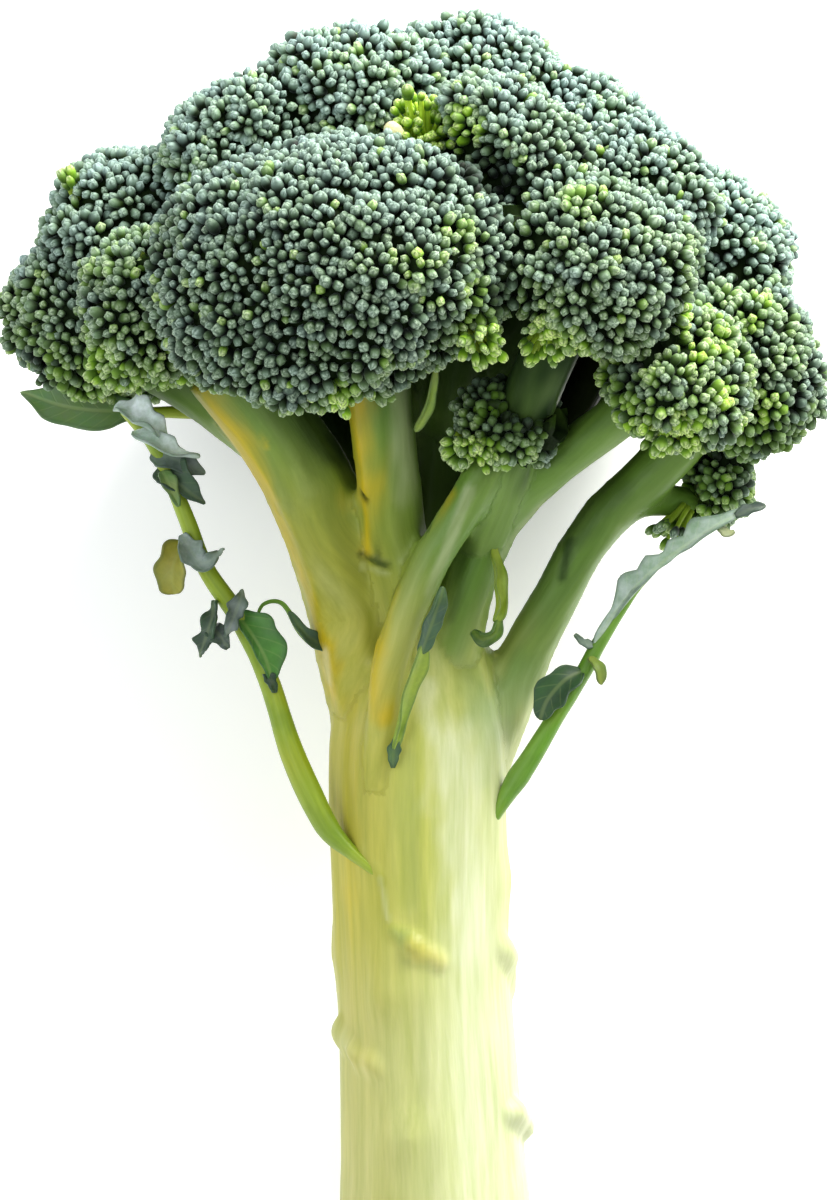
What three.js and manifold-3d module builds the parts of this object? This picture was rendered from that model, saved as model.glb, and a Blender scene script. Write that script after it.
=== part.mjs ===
/**
 * A broccoli head, cut and laid on its back.
 *
 * One thick stalk parts into branches, each branch carries a floret, and a few leaves and
 * bracts are left where the head was trimmed. The head is drawn growing upright, with the cut
 * end at z = 0, the best side towards -Y and +X to the right of that side. At the end of the
 * file the whole head is laid back until it rests on the rim of its cut end and on the two
 * large florets of its back. Millimetres, +Z up.
 */
import * as THREE from 'three';
import { mergeVertices } from 'three/addons/utils/BufferGeometryUtils.js';
import Module from 'manifold-3d';

const wasm = await Module();
wasm.setup();

// ---- Driving dimensions -------------------------------------------------------------------
const GAP = 0.3; // clear space kept between two pieces that touch
const STALK_RADIUS = 15.4; // halfway up the bare stalk
const STALK_TOP = 113; // where the stalk has parted into its branches
const HUB = new THREE.Vector3(0, 0, 116); // the florets point away from here
const LOBE_HEIGHT = 0.4; // how steeply the lobes of a floret stand out of it
const CREASE_SHARPNESS = 14; // how sharp the crease is where two florets press on each other
const INNER_SHARE = 0.9; // depth of a floret towards its branch, as a share of its reach
const SMALL_FLORET = 12; // a floret with less reach than this has fewer lobes
const LARGE_FLORET = 24; // a floret with more reach than this is drawn with finer faces
const LEAF_THICKNESS = 0.9;

const COLOURS = {
  stalk: '#c9d58a',
  branch: '#8aa34f',
  floret: '#3f6250',
  leaf: '#4f7d4c',
  bract: '#6d9a3f',
};

// ---- The florets --------------------------------------------------------------------------
// centre, spread (half the width sideways), reach (from the centre out to the top of the buds)
// and tall (half the width up and down, where it isn't the spread)
const FLORETS = {
  front_left: { centre: [-14.5, -43, 167], spread: 34, reach: 23, tall: 27 },
  front_right: { centre: [28.5, -43, 168], spread: 19, reach: 16, tall: 16 },
  front_top: { centre: [12, -34, 186], spread: 19, reach: 15.5 },
  left_front: { centre: [-44, -26, 163], spread: 17, reach: 15.5, tall: 16 },
  left_upper: { centre: [-51, -4, 176.5], spread: 19.5, reach: 17 },
  left_lower: { centre: [-58, -3, 163.5], spread: 18, reach: 17.3, tall: 15 },
  upper_left: { centre: [-29, -14, 187.5], spread: 19.5, reach: 17.5 },
  top_left: { centre: [-13, -9, 197], spread: 20.5, reach: 17.5 },
  top: { centre: [9.5, 0, 201], spread: 21, reach: 17 },
  top_right: { centre: [27, -3, 190.5], spread: 19.5, reach: 16.5 },
  upper_right: { centre: [37, -24, 181], spread: 16, reach: 13.5 },
  right_upper: { centre: [48.5, -1, 174.5], spread: 18.5, reach: 17 },
  right_outer: { centre: [54, -9, 155.5], spread: 17, reach: 16.5, tall: 20 },
  right_lower: { centre: [42, -31, 150.5], spread: 14.5, reach: 13.5, tall: 16 },
  under_front: { centre: [15.5, -23, 143], spread: 10.5, reach: 9, tall: 9.5 },
  low_right: { centre: [53, 4, 134], spread: 9.5, reach: 8.5 },
  left_back: { centre: [-51, 19, 165], spread: 21, reach: 18 },
  right_back: { centre: [51, 18, 163], spread: 21, reach: 18 },
  back_left: { centre: [-27, 42, 165], spread: 27, reach: 24, tall: 25 },
  back_right: { centre: [27, 42, 165], spread: 27, reach: 24, tall: 25, mirrored: true },
  back_top: { centre: [0, 33, 188], spread: 25, reach: 18.5 },
  upper_left_back: { centre: [-32, 15, 187], spread: 20, reach: 17.5 },
  upper_right_back: { centre: [31, 15, 187], spread: 20, reach: 17.5 },
};

// ---- The branches, each named for the floret that it carries -------------------------------
// points from inside its parent out to the floret, and the radius at the base and at the tip
const BRANCHES = {
  left_front: {
    points: [[-7, -1, 92], [-10.5, -4, 106], [-15.5, -8, 124], [-24, -13, 141], [-35, -20, 154]],
    radii: [9, 7.3],
  },
  front_left: {
    points: [[-2, -5, 100], [-4, -11, 119], [-6, -18, 136], [-7.5, -25, 151], [-10, -33, 158]],
    radii: [5.2, 5.7],
  },
  right_lower: {
    points: [[4, -4, 96], [5.8, -7.5, 107], [9, -10.5, 118], [13.5, -13, 127], [20, -16, 134],
      [28, -20, 140], [36, -26, 146]],
    radii: [6, 5, 4.2, 3.9, 3.9],
  },
  right_outer: {
    points: [[9, 0, 84], [15, 0, 95], [20, 0, 105.7], [24.5, -0.5, 114], [29.3, -1, 123],
      [35, -2, 130], [42, -4, 136], [50, -7, 146]],
    radii: [7, 4.6, 3.8, 4.4, 4.5],
  },
  back_left: {
    points: [[-5, 4, 92], [-9, 10, 116], [-16, 22, 138], [-22, 33, 154]],
    radii: [8.5, 8],
  },
  back_right: {
    points: [[2.5, 4, 92], [4.5, 11, 114], [12, 22, 136], [22, 33, 154]],
    radii: [6.5, 6.8, 8],
  },
  top: { points: [[0, 0, 96], [1.5, 1, 130], [5, 1, 165], [8, 0, 192]], radii: [8.5, 6.5] },
  under_front: {
    points: [[-7, -12, 80], [-5.6, -16, 101], [0.6, -19.3, 118], [8.8, -21.5, 131.5], [13, -22.5, 139]],
    radii: [3, 3.5],
  },
  left_lower: { points: [[-24, -10, 139], [-37, -9, 149], [-49, -6, 156]], radii: [5.5, 5] },
  left_upper: { points: [[-19, -7, 132], [-30, -7, 153], [-43, -6, 173]], radii: [5.5, 5] },
  left_back: { points: [[-12, 15, 126], [-29, 16, 144], [-46, 17, 159]], radii: [5, 5] },
  right_back: { points: [[10, 17, 128], [28, 18, 146], [46, 17, 158]], radii: [5, 5] },
  front_right: { points: [[10, -11, 121], [17, -24, 143], [24, -36, 160]], radii: [4.4, 5] },
  front_top: { points: [[3, 0, 140], [8, -16, 162], [12, -29, 181]], radii: [4.6, 4.6] },
  upper_left: { points: [[2, 0, 138], [-15, -8, 162], [-28, -15, 184]], radii: [4.8, 4.8] },
  top_left: { points: [[4, 1, 158], [-4, -6, 176], [-11, -10, 190]], radii: [4.6, 4.6] },
  top_right: { points: [[4, 1, 155], [15, -1, 171], [26, -3, 186]], radii: [4.6, 4.6] },
  upper_right: { points: [[3, 1, 144], [19, -11, 163], [34, -21, 180]], radii: [4.4, 4] },
  right_upper: { points: [[3, 1, 136], [17, 4, 148], [32, 3, 159], [44, 0, 168]], radii: [4.8, 4.6] },
  low_right: { points: [[38, -3, 131], [44, 1, 131], [49, 3.5, 130.5]], radii: [3.2, 2.6] },
  back_top: { points: [[4, 1, 150], [2, 14, 167], [0, 26, 180]], radii: [5, 5] },
  upper_left_back: { points: [[4, 1, 146], [-14, 6, 164], [-29, 12, 181]], radii: [4.6, 4.6] },
  upper_right_back: { points: [[4, 1, 146], [16, 7, 164], [28, 12, 181]], radii: [4.6, 4.6] },
};

// ---- The leaves: a petiole, and the lobes of the torn blade that are left on it ------------
// a lobe sits at a share of the way along the petiole and leans out towards `towards`
const LEAVES = {
  left: {
    petiole: [[-10.5, -8, 63], [-13, -9.5, 69.5], [-18, -10, 74], [-23, -10, 85], [-27, -10, 99],
      [-32, -10, 109.5], [-38, -10, 118.5], [-41.5, -10, 127.5], [-45, -10, 136], [-48, -10, 141.5],
      [-52.5, -10, 146.5]],
    radii: [3, 2.4, 1.7],
    lobes: [
      { at: 0.97, length: 9, width: 7, towards: [0.9, -0.5, -0.1] },
      { at: 0.86, length: 8, width: 12, towards: [1, -0.2, 0.1] },
      { at: 0.68, length: 7, width: 8, towards: [0.8, -0.6, 0.2] },
      { at: 0.66, length: 9, width: 8, towards: [-0.7, -0.3, -0.5] },
      { at: 0.52, length: 9, width: 9, towards: [-0.6, -0.5, -0.5] },
      { at: 0.46, length: 8, width: 11, towards: [0.9, -0.3, -0.1] },
    ],
  },
  right: {
    petiole: [[11.5, -6, 69], [15, -8, 77], [19.5, -9, 83], [24, -9, 92], [29, -9, 100.5],
      [32, -9, 106], [39, -10, 116.5], [49.5, -11, 125.5], [58, -12, 128.5]],
    radii: [2.4, 1.9, 1.2],
    lobes: [
      { at: 0.9, length: 7, width: 15, towards: [-0.3, -0.4, 0.8] },
      { at: 0.74, length: 7, width: 14, towards: [-0.3, -0.4, 0.8] },
      { at: 0.5, length: 5, width: 6, towards: [0.7, -0.5, -0.5] },
      { at: 0.33, length: 8, width: 9, towards: [-0.8, -0.4, 0.3] },
    ],
  },
  upper_left: {
    petiole: [[-33, 4, 147], [-42, 3, 147], [-54, 3, 147], [-64, 3, 148], [-72.5, 3, 150.5]],
    radii: [1.6, 1.3, 0.8],
    lobes: [
      { at: 0.74, length: 5.5, width: 21, towards: [0, -0.2, -1] },
      { at: 0.74, length: 5, width: 19, towards: [0, 0.3, 1] },
    ],
  },
};

// ---- The bracts: small blades, flat in one direction --------------------------------------
const BRACTS = {
  left: {
    points: [[-14, -4, 104], [-21, -7, 110], [-26, -8, 113], [-30, -9, 111]],
    radii: [1.3, 1.5],
    flatness: 0.6,
  },
  front: {
    points: [[-4.4, -17.4, 87], [-2.2, -19, 97], [0.8, -21.4, 106], [3.4, -23.4, 114.5]],
    radii: [1, 1.7, 1.9, 1.7],
    flatness: 0.5,
  },
  centre: {
    points: [[-1, -24, 142], [1.5, -29, 146], [2, -32, 149], [2.6, -33, 153]],
    radii: [1.2, 1.0],
    flatness: 0.5,
  },
  right: {
    points: [[10.5, -14, 105.5], [12, -16.5, 110], [13, -17.5, 115], [13.5, -16.5, 121]],
    radii: [1.8, 1.6],
    flatness: 0.45,
  },
};

// ---- Solids and geometries ----------------------------------------------------------------
/** A closed geometry as a solid that can be joined and cut. */
function solidOf(geometry) {
  const bare = new THREE.BufferGeometry();
  bare.setAttribute('position', geometry.getAttribute('position').clone());
  if (geometry.index) bare.setIndex(geometry.index.clone());
  const welded = mergeVertices(bare, 1e-4);
  return new wasm.Manifold(new wasm.Mesh({
    numProp: 3,
    vertProperties: new Float32Array(welded.getAttribute('position').array),
    triVerts: new Uint32Array(welded.index.array),
  }));
}

/** The largest single body of a solid, as a geometry. */
function geometryOf(solid) {
  const largest = solid.decompose().reduce((a, b) => (b.volume() > a.volume() ? b : a));
  const { vertProperties, triVerts } = largest.simplify(0.02).getMesh();
  const geometry = new THREE.BufferGeometry();
  geometry.setAttribute('position', new THREE.BufferAttribute(vertProperties, 3));
  geometry.setIndex(new THREE.BufferAttribute(triVerts, 1));
  geometry.computeVertexNormals();
  return geometry;
}

/** The value a share of the way along a list of evenly spaced values. */
function along(values, share) {
  const place = share * (values.length - 1);
  const low = Math.min(Math.floor(place), values.length - 2);
  return THREE.MathUtils.lerp(values[low], values[low + 1], place - low);
}

/**
 * A closed tube along a smooth curve. `surface` scales the radius by angle and share of the way
 * along, `flatness` thins the tube in one direction, and `grow` swells it all over.
 */
function tube(shape, grow = 0) {
  const { points, radii, sides = 8, rings = points.length + 1, flatness = 1 } = shape;
  const { surface = () => 1 } = shape;
  const curve = new THREE.CatmullRomCurve3(points.map((point) => new THREE.Vector3(...point)));
  const frames = curve.computeFrenetFrames(rings, false);
  const geometry = new THREE.CylinderGeometry(1, 1, 1, sides, rings);
  const position = geometry.getAttribute('position');
  for (let i = 0; i < position.count; i += 1) {
    const share = position.getY(i) + 0.5;
    const ring = Math.round(share * rings);
    const angle = Math.atan2(position.getZ(i), position.getX(i));
    const radius = along(radii, share) * surface(angle, share);
    const onAxis = Math.hypot(position.getX(i), position.getZ(i)) < 0.5;
    const across = onAxis ? 0 : radius + grow;
    const over = onAxis ? 0 : radius * flatness + grow;
    const end = (ring === rings) - (ring === 0);
    const vertex = curve.getPointAt(share)
      .addScaledVector(frames.normals[ring], Math.cos(angle) * across)
      .addScaledVector(frames.binormals[ring], -Math.sin(angle) * over)
      .addScaledVector(frames.tangents[ring], end * grow);
    position.setXYZ(i, vertex.x, vertex.y, vertex.z);
  }
  return solidOf(geometry);
}

// ---- Stalk --------------------------------------------------------------------------------
// flutes run up the stalk, and the scars of cut leaves stand out from it at an angle and height
const STALK_PROFILE = [1.11, 1.05, 1.02, 1.0, 0.99, 1.0, 1.01, 1.02, 1.0, 0.84, 0.64];
const SCARS = [
  { angle: -2.75, height: 34, size: 0.1 },
  { angle: -0.45, height: 46, size: 0.11 },
  { angle: -0.3, height: 18, size: 0.09 },
  { angle: -1.62, height: 50, size: 0.06 },
  { angle: 1.4, height: 62, size: 0.08 },
  { angle: 2.4, height: 28, size: 0.08 },
];

/** The share by which flutes and leaf scars raise the stalk's surface. */
function stalkSurface(angle, share) {
  const height = share * STALK_TOP;
  let raise = 1 + 0.022 * Math.cos(5 * angle + 0.6) + 0.014 * Math.cos(8 * angle - 1.1);
  for (const scar of SCARS) {
    const turn = Math.atan2(Math.sin(angle - scar.angle), Math.cos(angle - scar.angle));
    raise += scar.size * Math.exp(-((turn / 0.3) ** 2) - ((height - scar.height) / 5) ** 2);
  }
  return raise;
}

const stalkShape = {
  points: [[3, 0, 0], [1.5, 0, 30], [0, 0, 60], [-0.5, -0.5, 88], [0, 0, STALK_TOP]],
  radii: STALK_PROFILE.map((share) => share * STALK_RADIUS),
  sides: 24,
  rings: 18,
  surface: (angle, share) => stalkSurface(-angle, share),
};

// ---- Florets ------------------------------------------------------------------------------
const UP = new THREE.Vector3(0, 0, 1);

/** A floret's own values, worked out from its row in the table. */
function prepare([name, { centre, spread, reach, tall = spread, mirrored = false }]) {
  const middle = new THREE.Vector3(...centre);
  const mirror = new THREE.Vector3(mirrored ? -1 : 1, 1, 1);
  const axis = middle.clone().sub(HUB).normalize();
  const sideways = new THREE.Vector3().crossVectors(axis, UP).normalize();
  return { name, middle, spread, reach, tall, mirror, axis, sideways };
}

const GOLDEN_ANGLE = Math.PI * (3 - Math.sqrt(5));

/** The directions of a floret's lobes, spread evenly over its outer half. */
function lobesOf(floret) {
  const outward = floret.axis.clone().multiply(floret.mirror);
  const turn = new THREE.Quaternion().setFromUnitVectors(UP, outward);
  const count = floret.reach < SMALL_FLORET ? 4 : 7;
  return Array.from({ length: count }, (_, i) => {
    const rise = 1 - (1.15 * (i + 0.35)) / count;
    const ring = Math.sqrt(1 - rise * rise);
    const angle = i * GOLDEN_ANGLE + floret.reach;
    return new THREE.Vector3(ring * Math.cos(angle), ring * Math.sin(angle), rise)
      .applyQuaternion(turn);
  });
}

/** The smaller of two distances, rounded off where they are alike. */
function softMin(a, b) {
  return (a ** -CREASE_SHARPNESS + b ** -CREASE_SHARPNESS) ** (-1 / CREASE_SHARPNESS);
}

/** How far from its centre a floret's surface lies in a direction, pressed by its neighbours. */
function floretRadius(floret, lobes, neighbours, direction) {
  const rise = direction.dot(floret.axis);
  const side = direction.dot(floret.sideways);
  const depth = rise > 0 ? floret.reach : floret.reach * INNER_SHARE;
  const over = Math.max(1 - rise * rise - side * side, 0);
  const plain = ((rise / depth) ** 2 + (side / floret.spread) ** 2 + over / floret.tall ** 2) ** -0.5;
  const turned = direction.clone().multiply(floret.mirror);
  const nearest = Math.max(...lobes.map((lobe) => lobe.dot(turned)));
  const lobed = plain * (1 + LOBE_HEIGHT * (Math.max(nearest, 0.7) - 0.93));
  return neighbours.reduce((radius, other) => {
    const facing = direction.dot(other.towards);
    return facing > 0.05 ? softMin(radius, other.distance / facing) : radius;
  }, lobed);
}

/** A floret: a domed, lobed cap, pressed flat where it meets its neighbours. */
function floretSolid(floret, florets, grow = 0) {
  const neighbours = florets.filter((other) => other !== floret).map((other) => {
    const towards = other.middle.clone().sub(floret.middle);
    const apart = towards.length();
    const plane = (apart ** 2 + floret.spread ** 2 - other.spread ** 2) / (2 * apart);
    return { towards: towards.normalize(), distance: plane - GAP / 2, apart, other };
  }).filter(({ apart, other }) => apart < (floret.spread + other.spread) * 1.2);
  const lobes = lobesOf(floret);
  const detail = floret.reach > LARGE_FLORET ? 3 : 2;
  const geometry = new THREE.IcosahedronGeometry(1, detail);
  const position = geometry.getAttribute('position');
  const direction = new THREE.Vector3();
  for (let i = 0; i < position.count; i += 1) {
    direction.fromBufferAttribute(position, i).normalize();
    direction.multiplyScalar(floretRadius(floret, lobes, neighbours, direction) + grow);
    direction.add(floret.middle);
    position.setXYZ(i, direction.x, direction.y, direction.z);
  }
  return solidOf(geometry);
}

// ---- Leaves -------------------------------------------------------------------------------
const LOBE_POINTS = 12;

/** A torn leaf lobe: a thin plate with a toothed edge, rooted in the petiole. */
function leafLobe(curve, { at, length, width, towards }) {
  const outline = Array.from({ length: LOBE_POINTS }, (_, i) => {
    const angle = (i / LOBE_POINTS) * 2 * Math.PI;
    const tooth = i % 2 ? 0.88 : 1;
    return new THREE.Vector2(
      (Math.cos(angle) * tooth + 0.82) * (length / 1.82),
      Math.sin(angle) * tooth * (width / 2),
    );
  });
  const plate = new THREE.ExtrudeGeometry(new THREE.Shape(outline), {
    depth: LEAF_THICKNESS,
    bevelEnabled: false,
  });
  plate.translate(0, 0, -LEAF_THICKNESS / 2);
  const upwards = curve.getTangentAt(at);
  const outwards = new THREE.Vector3(...towards).projectOnPlane(upwards).normalize();
  const face = new THREE.Vector3().crossVectors(outwards, upwards);
  plate.applyMatrix4(new THREE.Matrix4().makeBasis(outwards, upwards, face));
  plate.translate(...curve.getPointAt(at).toArray());
  return solidOf(plate);
}

/** A leaf: its petiole joined with the lobes of its blade. */
function leafSolid({ petiole, radii, lobes }) {
  const curve = new THREE.CatmullRomCurve3(petiole.map((point) => new THREE.Vector3(...point)));
  const stem = tube({ points: petiole, radii, sides: 6, rings: 11 });
  return lobes.reduce((solid, lobe) => solid.add(leafLobe(curve, lobe)), stem);
}

// ---- The head, upright --------------------------------------------------------------------
const upright = new THREE.Group();

/** Adds a named piece to the head. */
function addPiece(name, solid, colour, roughness) {
  const material = new THREE.MeshStandardMaterial({ color: colour, roughness, metalness: 0 });
  const mesh = new THREE.Mesh(geometryOf(solid), material);
  mesh.name = name;
  upright.add(mesh);
}

/** Cuts a solid back from every solid in a list. */
function cutBack(solid, others) {
  return others.reduce((rest, other) => rest.subtract(other), solid);
}

addPiece('stalk', tube(stalkShape), COLOURS.stalk, 0.55);
const stems = [tube(stalkShape, GAP)]; // each swollen by the gap, to cut what comes after

for (const [name, shape] of Object.entries(BRANCHES)) {
  addPiece(`branch_${name}`, cutBack(tube(shape), stems), COLOURS.branch, 0.5);
  stems.push(tube(shape, GAP));
}

const florets = Object.entries(FLORETS).map(prepare);
for (const floret of florets) {
  const solid = cutBack(floretSolid(floret, florets), stems);
  addPiece(`floret_${floret.name}`, solid, COLOURS.floret, 0.8);
}
const woodyAndBuds = [...stems, ...florets.map((floret) => floretSolid(floret, florets, GAP))];

for (const [name, shape] of Object.entries(LEAVES)) {
  addPiece(`leaf_${name}`, cutBack(leafSolid(shape), woodyAndBuds), COLOURS.leaf, 0.5);
}

for (const [name, shape] of Object.entries(BRACTS)) {
  const blade = tube({ ...shape, sides: 8, rings: 6 });
  addPiece(`bract_${name}`, cutBack(blade, woodyAndBuds), COLOURS.bract, 0.5);
}

// ---- Laid on its back ---------------------------------------------------------------------
/** The lowest point of the named pieces when the head is laid back to a tilt. */
function lowest(tilt, chosen) {
  const turn = new THREE.Euler(tilt - Math.PI / 2, 0, 0);
  const point = new THREE.Vector3();
  let low = Infinity;
  for (const { geometry } of upright.children.filter(({ name }) => chosen(name))) {
    const position = geometry.getAttribute('position');
    for (let i = 0; i < position.count; i += 1) {
      low = Math.min(low, point.fromBufferAttribute(position, i).applyEuler(turn).z);
    }
  }
  return low;
}

/** The tilt at which the stalk and the crown both touch the surface, found by halving. */
function restingTilt() {
  let [flat, steep] = [0, Math.PI / 4];
  for (let step = 0; step < 40; step += 1) {
    const tilt = (flat + steep) / 2;
    const stalkIsLower = lowest(tilt, (name) => name === 'stalk')
      < lowest(tilt, (name) => name.startsWith('floret'));
    if (stalkIsLower) steep = tilt;
    else flat = tilt;
  }
  return (flat + steep) / 2;
}

upright.rotation.x = restingTilt() - Math.PI / 2;

const head = new THREE.Group();
head.add(upright);
head.updateMatrixWorld(true);
const box = new THREE.Box3().setFromObject(head, true);
upright.position.set(-(box.min.x + box.max.x) / 2, -(box.min.y + box.max.y) / 2, -box.min.z);

export default head;
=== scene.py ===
"""The looks of a cut broccoli head, which lies on its back with its best side up.

The stalk and its branches become one fluted stem, every floret becomes an umbel of pedicels
under a crust of flower buds, and the leaves and bracts become thin, torn blades. Everything is
drawn in the frame in which the head grew, in millimetres, and is laid down when it becomes an
object.
"""

import logging
import math
from collections.abc import Sequence
from dataclasses import dataclass, field
from enum import Enum
from functools import partial

import bpy
import numpy as np
from mathutils import Matrix, Vector, noise
from mathutils.bvhtree import BVHTree
from mathutils.kdtree import KDTree


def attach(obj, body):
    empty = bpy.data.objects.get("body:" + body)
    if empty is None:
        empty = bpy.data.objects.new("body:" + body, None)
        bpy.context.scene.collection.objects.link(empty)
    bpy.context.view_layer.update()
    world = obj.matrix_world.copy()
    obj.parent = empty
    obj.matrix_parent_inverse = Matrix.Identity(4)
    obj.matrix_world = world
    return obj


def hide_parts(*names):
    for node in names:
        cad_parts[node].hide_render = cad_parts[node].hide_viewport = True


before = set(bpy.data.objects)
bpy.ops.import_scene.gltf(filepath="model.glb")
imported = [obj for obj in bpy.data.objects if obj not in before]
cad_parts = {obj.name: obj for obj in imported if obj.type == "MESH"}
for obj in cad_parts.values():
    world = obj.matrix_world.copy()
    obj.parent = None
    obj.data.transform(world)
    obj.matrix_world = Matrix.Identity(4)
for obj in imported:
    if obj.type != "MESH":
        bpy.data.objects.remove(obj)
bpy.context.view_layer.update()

MM = 0.001
BODY = "root"
CUT_MIDDLE = (3, 0, 0)  # where the middle of the cut end lies in the upright frame
CUT_FACING = -0.93  # a face of the stalk that points down it this squarely is the cut end
PRESSED = 0.03  # how much is left of what would reach below the table
FULL_TURN = 2 * math.pi
LEAF_SEED, BRACT_SEED, SPROUT_SEED, TWIG_SEED = 500, 560, 700, 800
TRIES_PER_PLACE = 18  # how often a spot of a surface is tried before it counts as full
SEED_STEP = 20  # leaves room for one seed for each lobe or stem of a piece
LOG = logging.getLogger("broccoli")

Points = np.ndarray
Place = tuple[float, float, float]


class Slot(Enum):
    """The record's material slots."""

    STALK = "stalk_skin"
    BRANCH = "branch_skin"
    BUDS = "flower_buds"
    LEAF = "leaf_blade"
    BRACT = "bract_blade"


# ---- Numbers and fields --------------------------------------------------------------------


def linear(colour: str) -> tuple[float, float, float, float]:
    """Turns an sRGB hex colour into linear values.

    Args:
        colour: the colour, as "#rrggbb".

    Returns:
        Linear red, green and blue, and an alpha of 1.
    """
    parts = [int(colour[i : i + 2], 16) / 255 for i in (1, 3, 5)]
    red, green, blue = (
        part / 12.92 if part <= 0.04045 else ((part + 0.055) / 1.055) ** 2.4 for part in parts
    )
    return red, green, blue, 1.0


def smooth_step(values: Points, low: float, high: float) -> Points:
    """Rises smoothly from 0 at low to 1 at high.

    Args:
        values: the values to look at.
        low: where the rise starts.
        high: where the rise ends; it may be below low.

    Returns:
        The share risen at each value.
    """
    share = np.clip((np.asarray(values, float) - low) / (high - low), 0, 1)
    return share * share * (3 - 2 * share)


def unit(vectors: Points) -> Points:
    """The same directions, each of length one."""
    vectors = np.asarray(vectors, float)
    return vectors / np.maximum(np.linalg.norm(vectors, axis=-1, keepdims=True), 1e-9)


def noise_at(points: Points, size: float, seed: float = 0.0) -> Points:
    """Smooth noise at some places.

    Args:
        points: the places, in millimetres.
        size: about how far apart the noise's hills are, in millimetres.
        seed: moves the noise, so that two fields don't look alike.

    Returns:
        A value from about -1 to 1 at each place.
    """
    shift = Vector((seed, 1.7 * seed, -2.3 * seed))
    return np.array([noise.noise(Vector(point) / size + shift) for point in points])


def walked(line: Points) -> Points:
    """How far along a line each of its places lies."""
    return np.concatenate([[0], np.cumsum(np.linalg.norm(np.diff(line, axis=0), axis=1))])


def curved(points: Sequence[Place] | Points, count: int) -> Points:
    """A smooth line through some points, with evenly spaced places on it.

    Args:
        points: the points that the line runs through, in millimetres.
        count: how many places to return.

    Returns:
        The places, as an array of count rows.
    """
    given = np.array(points, float)
    padded = np.vstack([2 * given[0] - given[1], given, 2 * given[-1] - given[-2]])
    share = np.linspace(0, 1, 12, endpoint=False)[:, None]
    runs = []
    for before, start, end, after in zip(padded, padded[1:], padded[2:], padded[3:]):
        linear_part = 2 * start + (end - before) * share
        square_part = (2 * before - 5 * start + 4 * end - after) * share**2
        cubic_part = (3 * start - before - 3 * end + after) * share**3
        runs.append(0.5 * (linear_part + square_part + cubic_part))
    line = np.vstack([*runs, given[-1:]])
    run = walked(line)
    wanted = np.linspace(0, run[-1], count)
    return np.stack([np.interp(wanted, run, line[:, i]) for i in range(3)], axis=1)


def spread_values(values: tuple[float, ...], count: int) -> Points:
    """Evenly spaced readings of a short list of values."""
    return np.interp(np.linspace(0, len(values) - 1, count), np.arange(len(values)), values)


def side_frames(line: Points) -> tuple[Points, Points, Points]:
    """Directions along and across a line, without twist.

    Args:
        line: places on the line.

    Returns:
        The tangent, the sideways direction and the upward direction at each place.
    """
    tangents = unit(np.gradient(line, axis=0))
    side = np.array((0.3, -1.0, 0.2))
    sides = []
    for tangent in tangents:
        side = unit(side - tangent * (side @ tangent))
        sides.append(side)
    return tangents, np.array(sides), np.cross(tangents, np.array(sides))


def capsule_distance(points: Points, start: Place, end: Place) -> Points:
    """How far each point lies from the line between two places.

    Args:
        points: the points, in millimetres.
        start: one end of the line.
        end: the other end.

    Returns:
        The distance of each point.
    """
    start, end = np.array(start, float), np.array(end, float)
    along = end - start
    length = max(float(along @ along), 1e-9)
    share = np.clip(((points - start) @ along) / length, 0, 1)
    return np.linalg.norm(points - start - share[:, None] * along, axis=1)


# ---- Surfaces ------------------------------------------------------------------------------


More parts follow.
